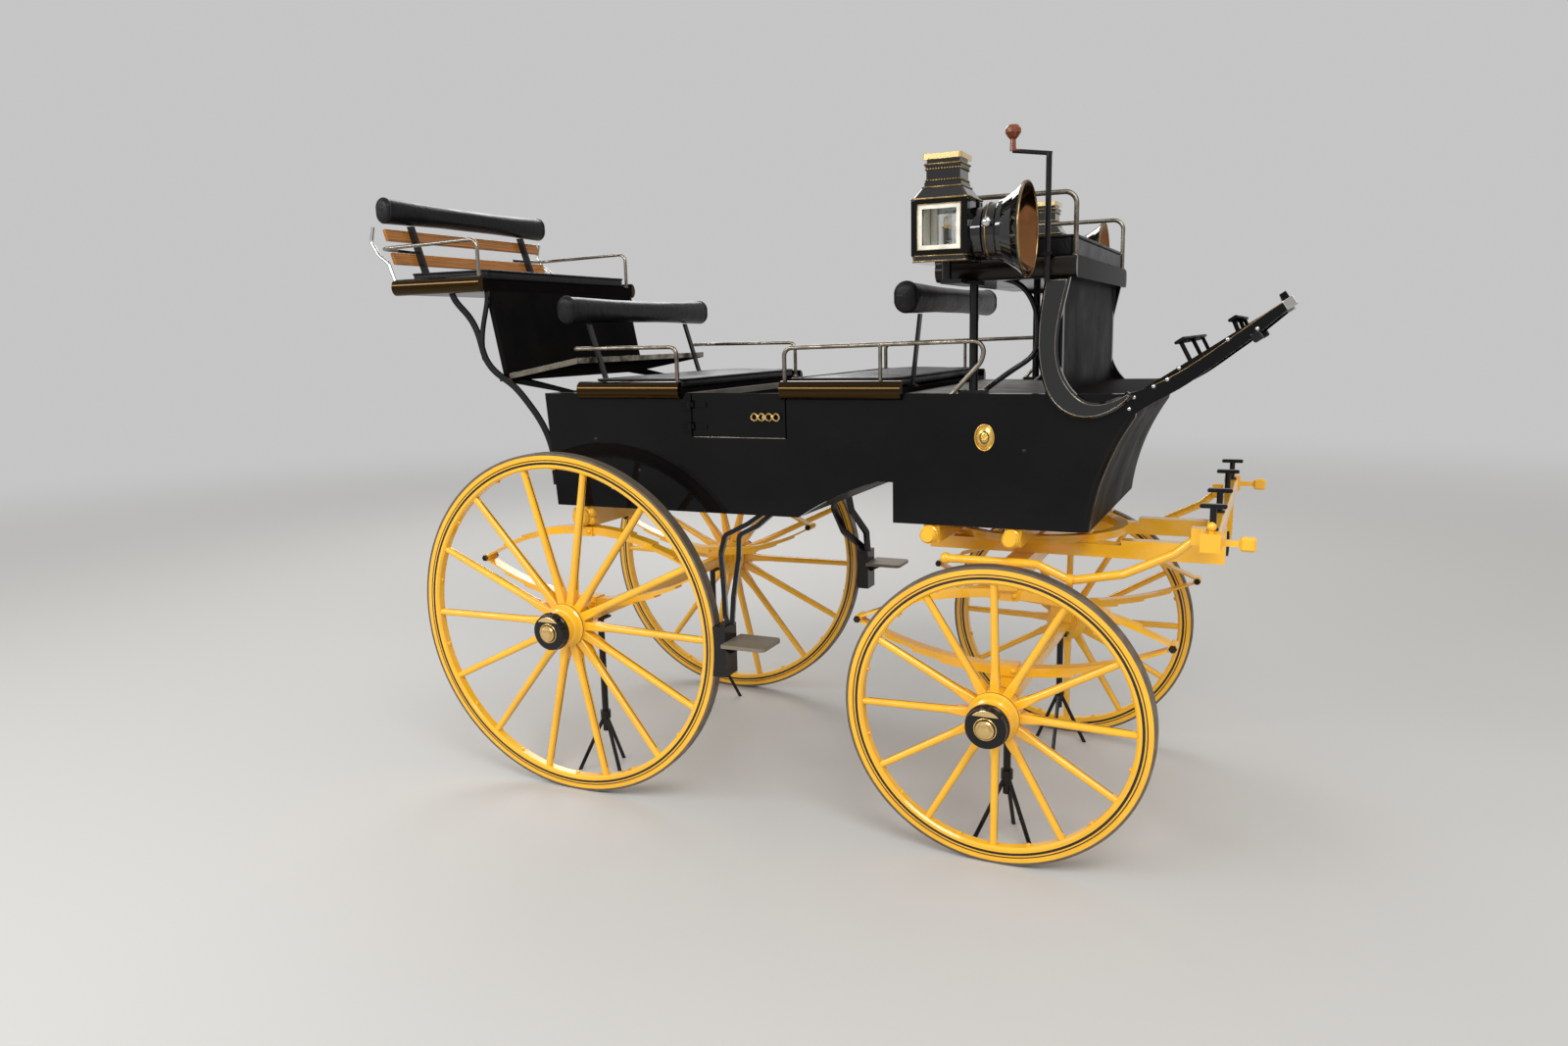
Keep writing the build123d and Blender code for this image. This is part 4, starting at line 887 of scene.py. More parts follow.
def wheel_matrix(axle, side):
    """From the wheel's own frame, with Z out along the axle arm, to its place on the carriage."""
    joint = joints[f"{axle}_{side}_wheel_spin"]
    out_axis = Vector(joint["axis"]).normalized()
    if out_axis.y * (1 if side == "left" else -1) < 0:
        out_axis = -out_axis
    x_axis = Vector((1, 0, 0))
    y_axis = out_axis.cross(x_axis)
    turn = Matrix((x_axis, y_axis, out_axis)).transposed().to_4x4()
    return Matrix.Translation(joint["pos_m"]) @ turn


print({axle: w["spokes"] for axle, w in wheels.items()}, "spokes")


# %% Strips of paint
def cleaned(obj, merge=0.0, outwards=False):
    """Merges corners that lie closer than a distance, and turns the faces outwards when asked."""
    shape = bmesh.new()
    shape.from_mesh(obj.data)
    if merge:
        bmesh.ops.remove_doubles(shape, verts=shape.verts, dist=merge)
    if outwards:
        bmesh.ops.recalc_face_normals(shape, faces=shape.faces)
    shape.to_mesh(obj.data)
    shape.free()
    return obj


def painted_ring(inner, outer, z, out, colour):
    """A flat ring of paint with a thin edge, proud of the face at z."""
    top, bottom = z + out * PAINT, z - out * PAINT_SINK
    ordered = [(inner, bottom), (outer, bottom), (outer, top), (inner, top), (inner, bottom)]
    if out < 0:
        ordered.reverse()
    return dress(cleaned(shaded(lathe("line", ordered, 128), False), merge=1e-6), colour)


def spoke_lines(w):
    """A thin line down each side of one spoke, where the spoke's section is flat."""
    foot = NAVE_RADIUS - 0.010
    rim = w["radius"] - TYRE_THICKNESS - FELLOE_DEPTH + 0.006
    corners, faces = [], []
    for side in (-1, 1):
        first = len(corners)
        # Columns: how far along the spoke, width across it as a share of the spoke's
        for t, across in ((0.13, 0.96), (0.22, 0.84), (0.94, 0.765)):
            half = across * w["spoke"] / 2
            x, z = foot + t * (rim - foot), -DISH * (1 - t)
            for lift, up_by in ((-PAINT_SINK, -1), (-PAINT_SINK, 1), (PAINT, 1), (PAINT, -1)):
                corners.append((x, side * (half + lift), z + up_by * SPOKE_LINE / 2))
        for row in (first, first + 4):
            for k in range(4):
                a, b = row + k, row + (k + 1) % 4
                faces.append((a, a + 4, b + 4, b))
        faces.append((first, first + 1, first + 2, first + 3))
        faces.append((first + 11, first + 10, first + 9, first + 8))
    return cleaned(make("spoke line", corners, faces), outwards=True)


def wheel_lines(axle, w):
    """All the painted lines of one wheel."""
    middle = w["radius"] - TYRE_THICKNESS - FELLOE_DEPTH / 2
    lines = []
    for face_z, out in ((TYRE_WIDTH / 2, 1), (-TYRE_WIDTH / 2, -1)):
        lines.append(painted_ring(middle - 0.0078, middle, face_z, out, line_black))
        lines.append(painted_ring(middle + 0.0045, middle + 0.0082, face_z, out, line_brown))
    lines.append(grow(spoke_lines(w), around, Count=w["spokes"], Material=line_brown))
    low, high = NAVE_RADIUS - PAINT_SINK, NAVE_RADIUS + PAINT
    for z in (-DISH - 0.030, -DISH + 0.028):
        band = lathe("nave line", [(low, z), (high, z), (high, z + 0.003), (low, z + 0.003)], 64)
        lines.append(dress(band, line_black))
    return joined(f"{axle} lines", lines)


print("strips of paint", PAINT, "proud")

# %% [markdown]
# ## Nuts and brass on the wheels
#
# A tyre is held by bolts through the felloe halfway between the spokes, with their nuts inside. The hub
# cap ends in a brass nut with a thin brass ring behind it. One tyre nut and the tree that turns things
# round an axle do a whole wheel, where a copy for each nut would be a list of places.


# %% A wheel's nuts and brass
def tyre_nuts(w):
    """A nut on the felloe's inside halfway between each two spokes."""
    radius, shoulder, height = 0.0075, 0.005, 0.0065
    seat_radius = w["radius"] - TYRE_THICKNESS - FELLOE_DEPTH
    nut = lathe("nut", [(0, 0), (radius, 0), (radius, shoulder), (radius * 0.8, height), (0, height)], 6)
    half_step = Matrix.Rotation(math.pi / w["spokes"], 4, "Z")
    on_felloe = Matrix.Translation((seat_radius + 0.0005, 0, 0))
    inward = half_step @ on_felloe @ Matrix.Rotation(-math.pi / 2, 4, "Y")
    return grow(moved(shaded(nut, False), inward), around, Count=w["spokes"], Material=coach_yellow)


def hub_brass(axle):
    """Brass cap nut, and a ring round the hub cap's nose."""
    end = 0.112
    profile = [(0, end - 0.002), (0.024, end - 0.002), (0.024, end + 0.003), (0.018, end + 0.007),
               (0.009, end + 0.0085), (0, end + 0.009)]
    nut = dress(shaded(lathe("cap nut", profile, 6), False), brass)
    ring = bar_on([(x, y, end - 0.0105) for x, y in oval(0.0325, 0.0325, 48)], 0.0022, brass)
    return joined(f"{axle} hub brass", [nut, ring])


for axle, w in wheels.items():
    # Columns: what is copied, the copies' name, the slot
    sources = [
        (wheel_lines(axle, w), "wheel_lines", None),
        (tyre_nuts(w), "tyre_nuts", "yellow_wood"),
        (hub_brass(axle), "hub_brass", None),
    ]
    for side in ("left", "right"):
        for source, name, slot in sources:
            piece = moved(copy_of(source, f"{axle}_{name}_{side}"), wheel_matrix(axle, side))
            hand_over(piece, f"{axle}_wheel_{side}_body")
    for source, _, _ in sources:
        bpy.data.objects.remove(source)
print("lines, nuts and brass on four wheels")

# %% [markdown]
# ## Cushions and rolls
#
# A seat cushion is a leather case over horsehair. Its seams hold while the faces between them belly out.
# It could be sculpted, but a simulation finds the same folds on its own: the solid gives the case, a voxel
# remesh gives it an even skin, and cloth with pressure inside and no gravity stuffs it. Vertices at the
# seams are pinned, so the leather pulls in along them.

# %% Stuffing with cloth simulation
# Pressure inside the leather, the frames it is given, and how much of the bottom is held
PRESSURE = 4.0
STEPS = 20
BOTTOM = 0.004


def case_of(name, node, shrink):
    """The solid's shape, merged and a little smaller, as the empty leather case."""
    obj = copy_of(nodes[node], name)
    low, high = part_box(node)
    # Each side draws in towards the middle, and the top towards the bottom
    anchor = ((low[0] + high[0]) / 2, (low[1] + high[1]) / 2, low[2])
    reach = ((high[0] - low[0]) / 2, (high[1] - low[1]) / 2, high[2] - low[2])
    shape = bmesh.new()
    shape.from_mesh(obj.data)
    bmesh.ops.remove_doubles(shape, verts=shape.verts, dist=1e-5)
    bmesh.ops.recalc_face_normals(shape, faces=shape.faces)
    for v in shape.verts:
        for i in range(3):
            v.co[i] = anchor[i] + (v.co[i] - anchor[i]) * (1 - shrink / reach[i])
    shape.to_mesh(obj.data)
    shape.free()
    return obj


def stuff(name, node, seams, shrink, cap, voxel, hold_bottom):
    """Stuffs the case of a solid; seams(point) is near 1 where stitches hold the leather."""
    obj = case_of(name, node, shrink)
    remesh = obj.modifiers.new("even skin", "REMESH")
    remesh.mode = "VOXEL"
    remesh.voxel_size = voxel
    mesh = baked(obj).data
    low = min(v.co.z for v in mesh.vertices)
    group = obj.vertex_groups.new(name="stitches")
    for v in mesh.vertices:
        hold = 1.0 if hold_bottom and v.co.z < low + BOTTOM else seams(v.co)
        if hold > 0:
            group.add([v.index], min(hold, 1.0), "REPLACE")
    cloth = obj.modifiers.new("stuffing", "CLOTH")
    cloth.settings.use_pressure = True
    cloth.settings.uniform_pressure_force = PRESSURE
    cloth.settings.quality = 4
    cloth.settings.mass = 0.3
    cloth.settings.tension_stiffness = 12
    cloth.settings.bending_stiffness = 0.6
    cloth.settings.effector_weights.gravity = 0
    cloth.settings.vertex_group_mass = "stitches"
    cloth.collision_settings.use_collision = False
    cloth.point_cache.frame_start = 1
    cloth.point_cache.frame_end = STEPS
    for number in range(1, STEPS + 1):
        scene.frame_set(number)
    depsgraph = bpy.context.evaluated_depsgraph_get()
    swollen = obj.evaluated_get(depsgraph).to_mesh()
    for v, s in zip(mesh.vertices, swollen.vertices):
        step = s.co - v.co
        if step.length > cap:
            step *= cap / step.length
        v.co += step
        v.co.z = max(v.co.z, low)
    obj.evaluated_get(depsgraph).to_mesh_clear()
    obj.modifiers.remove(cloth)
    scene.frame_set(1)
    smoother = obj.modifiers.new("smooth skin", "SUBSURF")
    smoother.levels = 1
    smoother.render_levels = 1
    return dress(shaded(obj, True), black_leather)


def near_lines(value, lines, reach):
    """1 on a line, falling to 0 at the reach."""
    return max(1 - abs(value - line) / reach for line in lines)


def hand_over_pad(pad, node):
    """A stuffed piece stands for its solid."""
    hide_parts(node)
    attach(pad, "carriage")
    print(pad.name, len(pad.data.polygons), "faces")


print("stuffing at pressure", PRESSURE)

# %% Four cushions
CUSHION_CORNER = 0.024
SEAM_INSET = 0.006
CHANNELS = 3


def cushion(seat):
    """A box cushion with seams along its top edges and across its top, and piping round the top edge."""
    node = f"{seat}_cushion"
    low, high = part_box(node)
    inner_low = low[0] + SEAM_INSET, low[1] + SEAM_INSET
    inner_high = high[0] - SEAM_INSET, high[1] - SEAM_INSET
    top = high[2] - 0.006
    across = [low[1] + (high[1] - low[1]) * i / CHANNELS for i in range(1, CHANNELS)]

    def seams(p):
        edge = min(abs(p[i] - side[i]) for side in (inner_low, inner_high) for i in (0, 1))
        on_edge = 1 - edge / 0.007 if p.z > top - 0.008 else 0
        on_channel = near_lines(p.y, across, 0.006) if p.z > top - 0.012 else 0
        return max(on_edge, on_channel, 0)

    pad = stuff(f"{seat}_pad", node, seams, shrink=0.006, cap=0.014, voxel=0.007, hold_bottom=True)
    hand_over_pad(pad, node)
    path = rounded_rectangle(inner_low, inner_high, CUSHION_CORNER, top, 6)
    hand_over(bar_on(path, 0.0042, black_leather, name=f"{seat}_piping"), "carriage")


for seat in ("rear", "third", "second", "driver"):
    cushion(seat)

# %% [markdown]
# The three rolls behind the seats are stuffed the same way. A roll has a round cap sewn in at each end, so
# it is pinned along both end seams and swells between.

# %% Three rolls
ROLL_END = 0.016
ROLL_INSET = 0.003


def back_roll(seat):
    """A stuffed roll with a piped cap at each end."""
    node = f"{seat}_roll"
    low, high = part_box(node)
    ends = (low[1] + ROLL_END, high[1] - ROLL_END)

    def seams(p):
        return max(near_lines(p.y, ends, 0.007), 0)

    pad = stuff(f"{seat}_roll_pad", node, seams, shrink=0.003, cap=0.006, voxel=0.006, hold_bottom=False)
    hand_over_pad(pad, node)
    cx, cz = (low[0] + high[0]) / 2, (low[2] + high[2]) / 2
    half_x, half_z = (high[0] - low[0]) / 2 - ROLL_INSET, (high[2] - low[2]) / 2 - ROLL_INSET
    straight = half_z - half_x
    pipes = []
    for y in ends:
        rim = [(cx + x, y, cz + (straight if z > 0 else -straight) + z) for x, z in oval(half_x, half_x, 40)]
        pipes.append(bar_on(rim, 0.0034, black_leather))
    hand_over(joined(f"{seat}_roll_piping", pipes), "carriage")


for seat in ("rear", "third", "second"):
    back_roll(seat)

# %% [markdown]
# ## Lamps
#
# A carriage lamp is a sheet-iron box, japanned black outside and bright inside, with a candle in a spring
# tube, brass mouldings on its edges and a pierced chimney. The solids hold the box, the chimney and the
# bell. Mouldings and beading follow the box, so the bar tree and the bead tree draw them on paths round
# it.

# %% Mouldings and beading
lamp_half = 0.072
lamp_wall = 0.007
glass_low, glass_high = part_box("lamp_glass")
lamp_low, lamp_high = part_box("lamp_left")
lamp_x = (glass_low[0] + glass_high[0]) / 2
lamp_z = (glass_low[2] + glass_high[2]) / 2
lamp_y = (lamp_low[1] + lamp_high[1]) / 2
window_half = (glass_high[2] - glass_low[2]) / 2


def round_the_lamp(half, corner, z):
    """A closed path round the lamp at a height."""
    return rounded_rectangle((lamp_x - half, lamp_y - half), (lamp_x + half, lamp_y + half), corner, z, 4)


def lamp_fittings():
    """Mouldings and beading of the left lamp, and the bright knob on its barrel."""
    h = lamp_half
    roof, base = lamp_z + h, lamp_z - h
    pieces = []
    # Columns: half width, corner radius, height, radius of the moulding
    for half, corner, z, radius in (
        (h + 0.008, 0.014, roof + 0.003, 0.0030),
        (h + 0.006, 0.014, base - 0.003, 0.0024),
        (h + 0.005, 0.012, base - 0.017, 0.0024),
        (0.78 * h, 0.010, roof + 0.035, 0.0026),
        (0.72 * h, 0.008, roof + 0.0955, 0.0026),
    ):
        pieces.append(bar_on(round_the_lamp(half, corner, z), radius, dull_brass))
    for z in (roof + 0.053, roof + 0.083):
        outline = path_object("beading", round_the_lamp(0.66 * h + 0.001, 0.008, z))
        pieces.append(grow(outline, beads, Spacing=0.0078, Radius=0.0034, Material=dull_brass))
    profile = [(0, 0), (0.007, 0), (0.006, 0.006), (0.012, 0.010), (0.0135, 0.016), (0.010, 0.022), (0, 0.024)]
    stud_place = facing_y((lamp_x + 1.82 * h, lamp_y + h - 0.002, lamp_z + 0.004), 1)
    pieces.append(dress(moved(lathe("barrel knob", profile, 24), stud_place), bright_steel))
    return joined("lamp_brass", pieces)


lamp_left_pieces = [lamp_fittings()]
print("lamps at", lamp_x, lamp_y, lamp_z)

# %% [markdown]
# Inside, the lamp is lined with bright sheet that throws the light out, and a candle stands in a spring
# tube that pushes it up as it burns. Both show through the windows, so they are thin sheets and turned
# pieces that stand there, where a picture behind the glass would look flat from the side.


# %% Lining and candle
def candle_and_lining():
    """The bright inside of the left lamp: a lining open at both windows, and a candle in its tube."""
    room = lamp_half - lamp_wall - 0.001
    corner = 0.013
    pieces = []
    for side in (-1, 1):
        wall, turned, open_edge = side * room, side * (room - corner), side * 0.75 * room
        outline = [(open_edge, -room), (turned, -room), (wall, -room + corner), (wall, room - corner),
                   (turned, room), (open_edge, room)]
        corners = [(lamp_x + x, lamp_y + y, lamp_z + z) for z in (-room, room) for x, y in outline]
        count = len(outline)
        sheet = make("lining", corners, [(i, i + 1, i + 1 + count, i + count) for i in range(count - 1)])
        sheet.modifiers.new("sheet", "SOLIDIFY").thickness = 0.0006
        pieces.append(dress(baked(sheet), silver))
    base = lamp_z - lamp_half + lamp_wall
    half_x, half_y = room - 0.001, room - 0.002
    for z in (base + 0.0006, lamp_z + room - 0.0012):
        lid_low = (lamp_x - half_x, lamp_y - half_y, z)
        lid = block("lid", lid_low, (lamp_x + half_x, lamp_y + half_y, z + 0.0008))
        pieces.append(dress(lid, silver))
    place_it = Matrix.Translation((lamp_x, lamp_y, base))
    tube = [(0, 0.066), (0.0135, 0.066), (0.0142, 0.069), (0.0135, 0.072), (0.0122, 0.073), (0, 0.073)]
    candle = [(0, 0.071), (0.0105, 0.071), (0.0105, 0.094), (0.009, 0.0965), (0.004, 0.096), (0, 0.0955)]
    wick = [(0, 0.094), (0.001, 0.094), (0.0008, 0.103), (0, 0.1035)]
    for profile, count, material in ((tube, 24, brass), (candle, 24, wax), (wick, 8, black_enamel)):
        pieces.append(dress(moved(lathe("candle part", profile, count), place_it), material))
    return joined("lamp_inside", pieces)


lamp_left_pieces.append(candle_and_lining())
print("lining and candle")

# %% [markdown]
# The bell that faces forward is copper inside, browned by heat, and a brass ring stiffens its mouth. A
# turned profile follows the solid's funnel just off its skin, so the solid stays black and only its inside
# shows copper. A mask of boxes, as on the doors, could not follow a funnel.


# %% Copper in the bell
def bell_lining():
    """Copper inside of the bell with a brass rim, and a brass ring round its throat."""
    h = lamp_half
    bell = 0.126
    mouth = 3.08 * h
    # The skin's inner face from the axis out to the rim, then its back to the axis
    profile = [(0, 2.27 * h), (h - 0.0078, 2.27 * h), (h + 0.0062, 2.352 * h), (bell - 0.024, 2.745 * h),
               (bell - 0.0045, mouth - 0.0005), (bell - 0.0055, mouth + 0.0004), (bell - 0.0062, mouth),
               (bell - 0.0248, 2.75 * h + 0.0002), (h + 0.0052, 2.36 * h + 0.0008),
               (h - 0.008, 2.28 * h + 0.0008), (0, 2.28 * h + 0.0008)]
    pieces = [dress(lathe("bell lining", profile, 64), copper)]
    for radius, z, bar in ((bell - 0.0025, mouth + 0.0008, 0.0032), (h + 0.0025, 1.72 * h, 0.0030)):
        pieces.append(bar_on([(x, y, z) for x, y in oval(radius, radius, 72)], bar, dull_brass))
    forward_axis = Matrix(((0, 0, 1), (1, 0, 0), (0, 1, 0))).to_4x4()
    place_it = Matrix.Translation((lamp_x, lamp_y, lamp_z - 0.014)) @ forward_axis
    return moved(joined("bell_brass", pieces), place_it)


lamp_left_pieces.append(bell_lining())
print("bell lined")

# %% [markdown]
# The windows are framed: posts and rails stand proud of the case, and a pale rim round the glass is a
# painted highlight for the light in its bevelled edge. Both are bars round a square hole, so one function
# draws them in two sizes, and what is made for the left lamp is mirrored for the right.


# %% Raised window frames
def frame_bars(hole, outer, low, high, lap):
    """Four bars round a square hole: two posts, then two rails that lap onto them; columns x0, x1, z0, z1."""
    return (
        (-outer, -hole, low, high),
        (hole, outer, low, high),
        (-hole - lap, hole + lap, low, -hole),
        (-hole - lap, hole + lap, hole, high),
    )


def lamp_case():
    """A raised window frame with a bevelled rim on both sides of the left lamp, and posts at its corners; the
    rim's pale finish is a painted highlight.
    """
    h = lamp_half
    opening, reach, lap = 0.0600, 0.0785, 0.001
    low_z, high_z = -h - 0.003, h - 0.001
    glass = window_half + 0.0005
    rim_edge = opening + lap
    window = frame_bars(opening, reach, low_z, high_z, lap)
    posts = ((-reach + 0.001, -0.062, low_z, high_z), (0.062, reach - 0.001, low_z, high_z))
    # The rim round the glass takes the pale bevel finish, a painted highlight.
    rim = frame_bars(glass, rim_edge, -rim_edge, rim_edge, 0)
    pieces = []
    for side in (-1, 1):
        # Columns: the bars, how far out they start and end, their rounding, their finish
        for bars, inner, outer, bevel, material in (
            (window, h - 0.004, h + 0.0085, 0.0015, coach_black),
            (posts, 0.046, h - 0.002, 0.002, coach_black),
            (rim, h + 0.0052, h + 0.0064, 0, bevel_painted_highlight),
        ):
            y0, y1 = sorted((lamp_y + side * inner, lamp_y + side * outer))
            for x0, x1, z0, z1 in bars:
                bar = block("bar", (lamp_x + x0, y0, lamp_z + z0), (lamp_x + x1, y1, lamp_z + z1), bevel)
                pieces.append(dress(bar, material))
        y = lamp_y + side * (h + 0.0088)
        square = [(x * opening, z * opening) for x, z in ((-1, -1), (1, -1), (1, 1), (-1, 1))]
        corners = [(lamp_x + x, y, lamp_z + z) for x, z in square]
        pieces.append(bar_on(corners, 0.0011, dull_brass))
    return joined("lamp_case", pieces)


lamp_left_pieces.append(lamp_case())
for piece in lamp_left_pieces:
    other = moved(copy_of(piece, f"{piece.name}_right"), MIRROR)
    piece.name = f"{piece.name}_left"
    for each in (piece, other):
        hand_over(each, "carriage")
print(len(lamp_left_pieces), "pieces on each lamp")

# %% [markdown]
# ## Ornament on the hull
#
# A small gilt oval sits on the black varnish of each side: a ring of beading round a plain rosette. Its
# plate and its dark ring are turned round, and one matrix then stretches them to the oval and stands them
# against the side, which is simpler than a profile that changes on its way round.


# %% Gilt oval
def gilt_oval():
    """An oval of beads round a plain eight-petalled rosette, on the left side."""
    centre = Vector((ahead(1.445), hull_half_width, 1.281))
    wide, high = 0.0285, 0.0385
    on_side = Matrix.Translation(centre) @ Matrix(((1, 0, 0), (0, 0, 1), (0, high / wide, 0))).to_4x4()

    def round_it(inset, out):
        return [(centre.x + x, centre.y + out, centre.z + z) for x, z in oval(wide - inset, high - inset, 48)]

    plate = dress(lathe("plate", [(0, 0), (wide, 0), (wide, 0.0006), (0, 0.0006)], 48), gilt)
    ring_profile = [(0.0115, 0.0004), (0.0145, 0.0004), (0.0145, 0.0008), (0.0115, 0.0008), (0.0115, 0.0004)]
    ring = dress(lathe("dark ring", ring_profile, 48), line_black)
    rim = bar_on(round_it(0, 0.0006), 0.0019, gilt)
    dot_path = path_object("oval beads", round_it(0.006, 0.0004))
    dots = grow(dot_path, beads, Spacing=0.0052, Radius=0.0016, Material=gilt)
    petal = lathe("petal", [(0, 0.0006), (0.0034, 0.001), (0.0028, 0.0022), (0, 0.0027)], 10)
    moved(petal, Matrix.Translation((0.0062, 0, 0)) @ Matrix.Diagonal((1.5, 0.8, 1, 1)))
    petals = grow(petal, around, Count=8, Material=gilt)
    boss = dress(lathe("boss", [(0, 0.0006), (0.003, 0.001), (0.0025, 0.003), (0, 0.0038)], 16), gilt)
    flower = moved(joined("rosette", [petals, boss]), on_side)
    return joined("gilt_oval", [moved(plate, on_side), moved(ring, on_side), rim, dots, flower])


both_sides("gilt_ovals", gilt_oval(), "carriage")
print("gilt ovals")

# %% [markdown]
# ## Bolts, nuts and ferrules
#
# Small fasteners tell the eye how a thing is held. Two in a row are one nut or bolt and the second tree,
# which repeats it along a line. Where their places follow no rule, a short list gives each place instead.
# A mirrored copy does the other side.

# %% Nuts on the spring eyes and clips
SPRING_WIDTH = 0.045
BOX_TO_SPRING = 0.011
springs = {
    "rear": dict(body="carriage", half=0.452, rise=0.290),
    "front": dict(body="forecarriage", half=0.482, rise=0.270),
}


def hexagon(radius, height):
    """A nut about Z with its top edge taken off."""
    profile = [(0, 0), (radius, 0), (radius, 0.7 * height), (0.8 * radius, height), (0, height)]
    return shaded(lathe("nut", profile, 6), False)


def dome(radius, height):
    """A round-headed bolt about Z."""
    profile = [(0, 0), (radius, 0), (0.94 * radius, 0.4 * height), (0.6 * radius, 0.85 * height), (0, height)]
    return lathe("bolt", profile, 16)


def pair_along(piece, step, material):
    """A piece and a second one a step ahead of it."""
    return grow(piece, along, Count=2, Step=(step, 0, 0), Material=material)


for axle, sizes in springs.items():
    low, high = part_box(f"{axle}_springs")
    half, half_rise = sizes["half"], sizes["rise"] / 2
    centre_x = (low[0] + high[0]) / 2
    middle_z = high[2] - half_rise
    spring_y = high[1] - SPRING_WIDTH / 2 - BOX_TO_SPRING
    eye_nuts, clip_bolts = [], []
    for sign in (1, -1):
        eye_y = spring_y + sign * (SPRING_WIDTH / 2 + 0.0045)
        clip_y = spring_y + sign * (SPRING_WIDTH / 2 + 0.0055)
        eye = moved(hexagon(0.0118, 0.0095), facing_y((centre_x - half, eye_y, middle_z), sign))
        eye_nuts.append(pair_along(eye, 2 * half, black_enamel))
        for height in (half_rise - 0.017, 0.017 - half_rise):
            clip = moved(dome(0.009, 0.007), facing_y((centre_x - 0.026, clip_y, middle_z + height), sign))
            clip_bolts.append(pair_along(clip, 0.052, coach_yellow))
    both_sides(f"{axle}_spring_eye_nuts", joined("eye nuts", eye_nuts), sizes["body"])
    both_sides(f"{axle}_spring_clip_bolts", joined("clip bolts", clip_bolts), sizes["body"])
    print(axle, "springs at", centre_x, spring_y, middle_z)


# %% Bolts on the footboard's beams and the hull's sides
def side_bolts(places, radius, height, material):
    """Bolts on the left side; columns: distance ahead of the rear axle, height above the hull's top."""
    bolts = []
    for distance, lift in places:
        place_it = facing_y((ahead(distance), hull_half_width - 0.001, hull_top + lift), 1)
        bolts.append(dress(moved(dome(radius, height), place_it), material))
    return joined("bolts", bolts)


beam_places = [(1.981, 0.071), (1.952, 0.040), (1.917, 0.021), (1.866, -0.009), (1.854, -0.041), (2.101, 0.145),
               (2.172, 0.172)]
both_sides("beam_bolts", side_bolts(beam_places, 0.0062, 0.004, bright_steel), "carriage")
hull_places = [(1.563, -0.166), (0.062, -0.160), (0.238, -0.265)]
both_sides("hull_bolts", side_bolts(hull_places, 0.007, 0.0035, black_enamel), "carriage")
print(len(beam_places), "beam bolts and", len(hull_places), "hull bolts on each side")

# %% [markdown]
# Each beam of the footboard ends in a bright ferrule, with a small black hanger below the beam. Both are
# blocks with rounded edges, made level and then turned to the footboard's slope. Made in place they would
# need their corners worked out by hand.

# %% Ferrules and hangers on the beams
FOOTBOARD_RUN, FOOTBOARD_RISE = 0.383, 0.252
slope = math.atan2(FOOTBOARD_RISE, FOOTBOARD_RUN)


def on_the_slope(distance, height):
    """A place on the footboard's slope, ahead of the rear axle and above the hull's top."""
    return Matrix.Translation((ahead(distance), 0, hull_top + height)) @ Matrix.Rotation(-slope, 4, "Y")


ferrule = block("ferrule", (-0.026, 0.4635, -0.0245), (0.004, 0.4925, 0.0022), 0.002)
ferrule_place = on_the_slope(2.250, FOOTBOARD_RISE)
both_sides("beam_ferrules", moved(dress(ferrule, bright_steel), ferrule_place), "carriage")
hanger_low = (-0.014, hull_half_width - 0.024, -0.054)
hanger_high = (0.012, hull_half_width + 0.003, -0.026)
hanger = block("hanger", hanger_low, hanger_high, 0.005)
hanger_place = on_the_slope(2.150, 0.186)
both_sides("beam_hangers", moved(dress(hanger, black_enamel), hanger_place), "carriage")
print("beams slope by", round(math.degrees(slope), 1), "degrees")

# %% [markdown]
# A hand rail ends in a small turned flange that is screwed to the wood. The rails are solids already.
# Their flanges are one turned profile, set at each foot.

# %% Flanges at the feet of the hand rails
rail_y = hull_half_width - 0.008
bench_top = hull_top + 0.015
third, second, driver, rear = (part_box(f"{seat}_seat") for seat in ("third", "second", "driver", "rear"))
feet = [
    (third[1][0] - 0.018, rail_y, bench_top),
    (second[0][0] + 0.008, rail_y, bench_top),
    (second[1][0] - 0.073, rail_y, bench_top),
    (driver[1][0] - 0.011, hull_half_width - 0.024, seat_bottom + 0.060),
    (rear[1][0] - 0.022, rail_y, rear[0][2] + 0.044),
]
flange_profile = [(0, -0.001), (0.0125, -0.001), (0.0125, 0.002), (0.0105, 0.0035), (0.0085, 0.0045),
                  (0.0082, 0.009), (0, 0.009)]
flanges = [dress(moved(lathe("flange", flange_profile, 24), Matrix.Translation(foot)), pewter) for foot in feet]
both_sides("rail_flanges", joined("rail flanges", flanges), "carriage")
print(len(feet), "rail feet on each side")

# %% [markdown]
# ## Beading and edging
#
# Thin bright lines mark the edges of black work. A bead follows the outline of each swan-necked wing and
# the top of each beam, a half-round bead lies below each door, and a strip of plate edges the sloping
# board for the feet. The beads on the beams and below the doors also stand for the highlight lines along
# those edges, as painted highlight. A typed path would miss the curves, so the wing's and the beam's own
# corners are read from their solids.


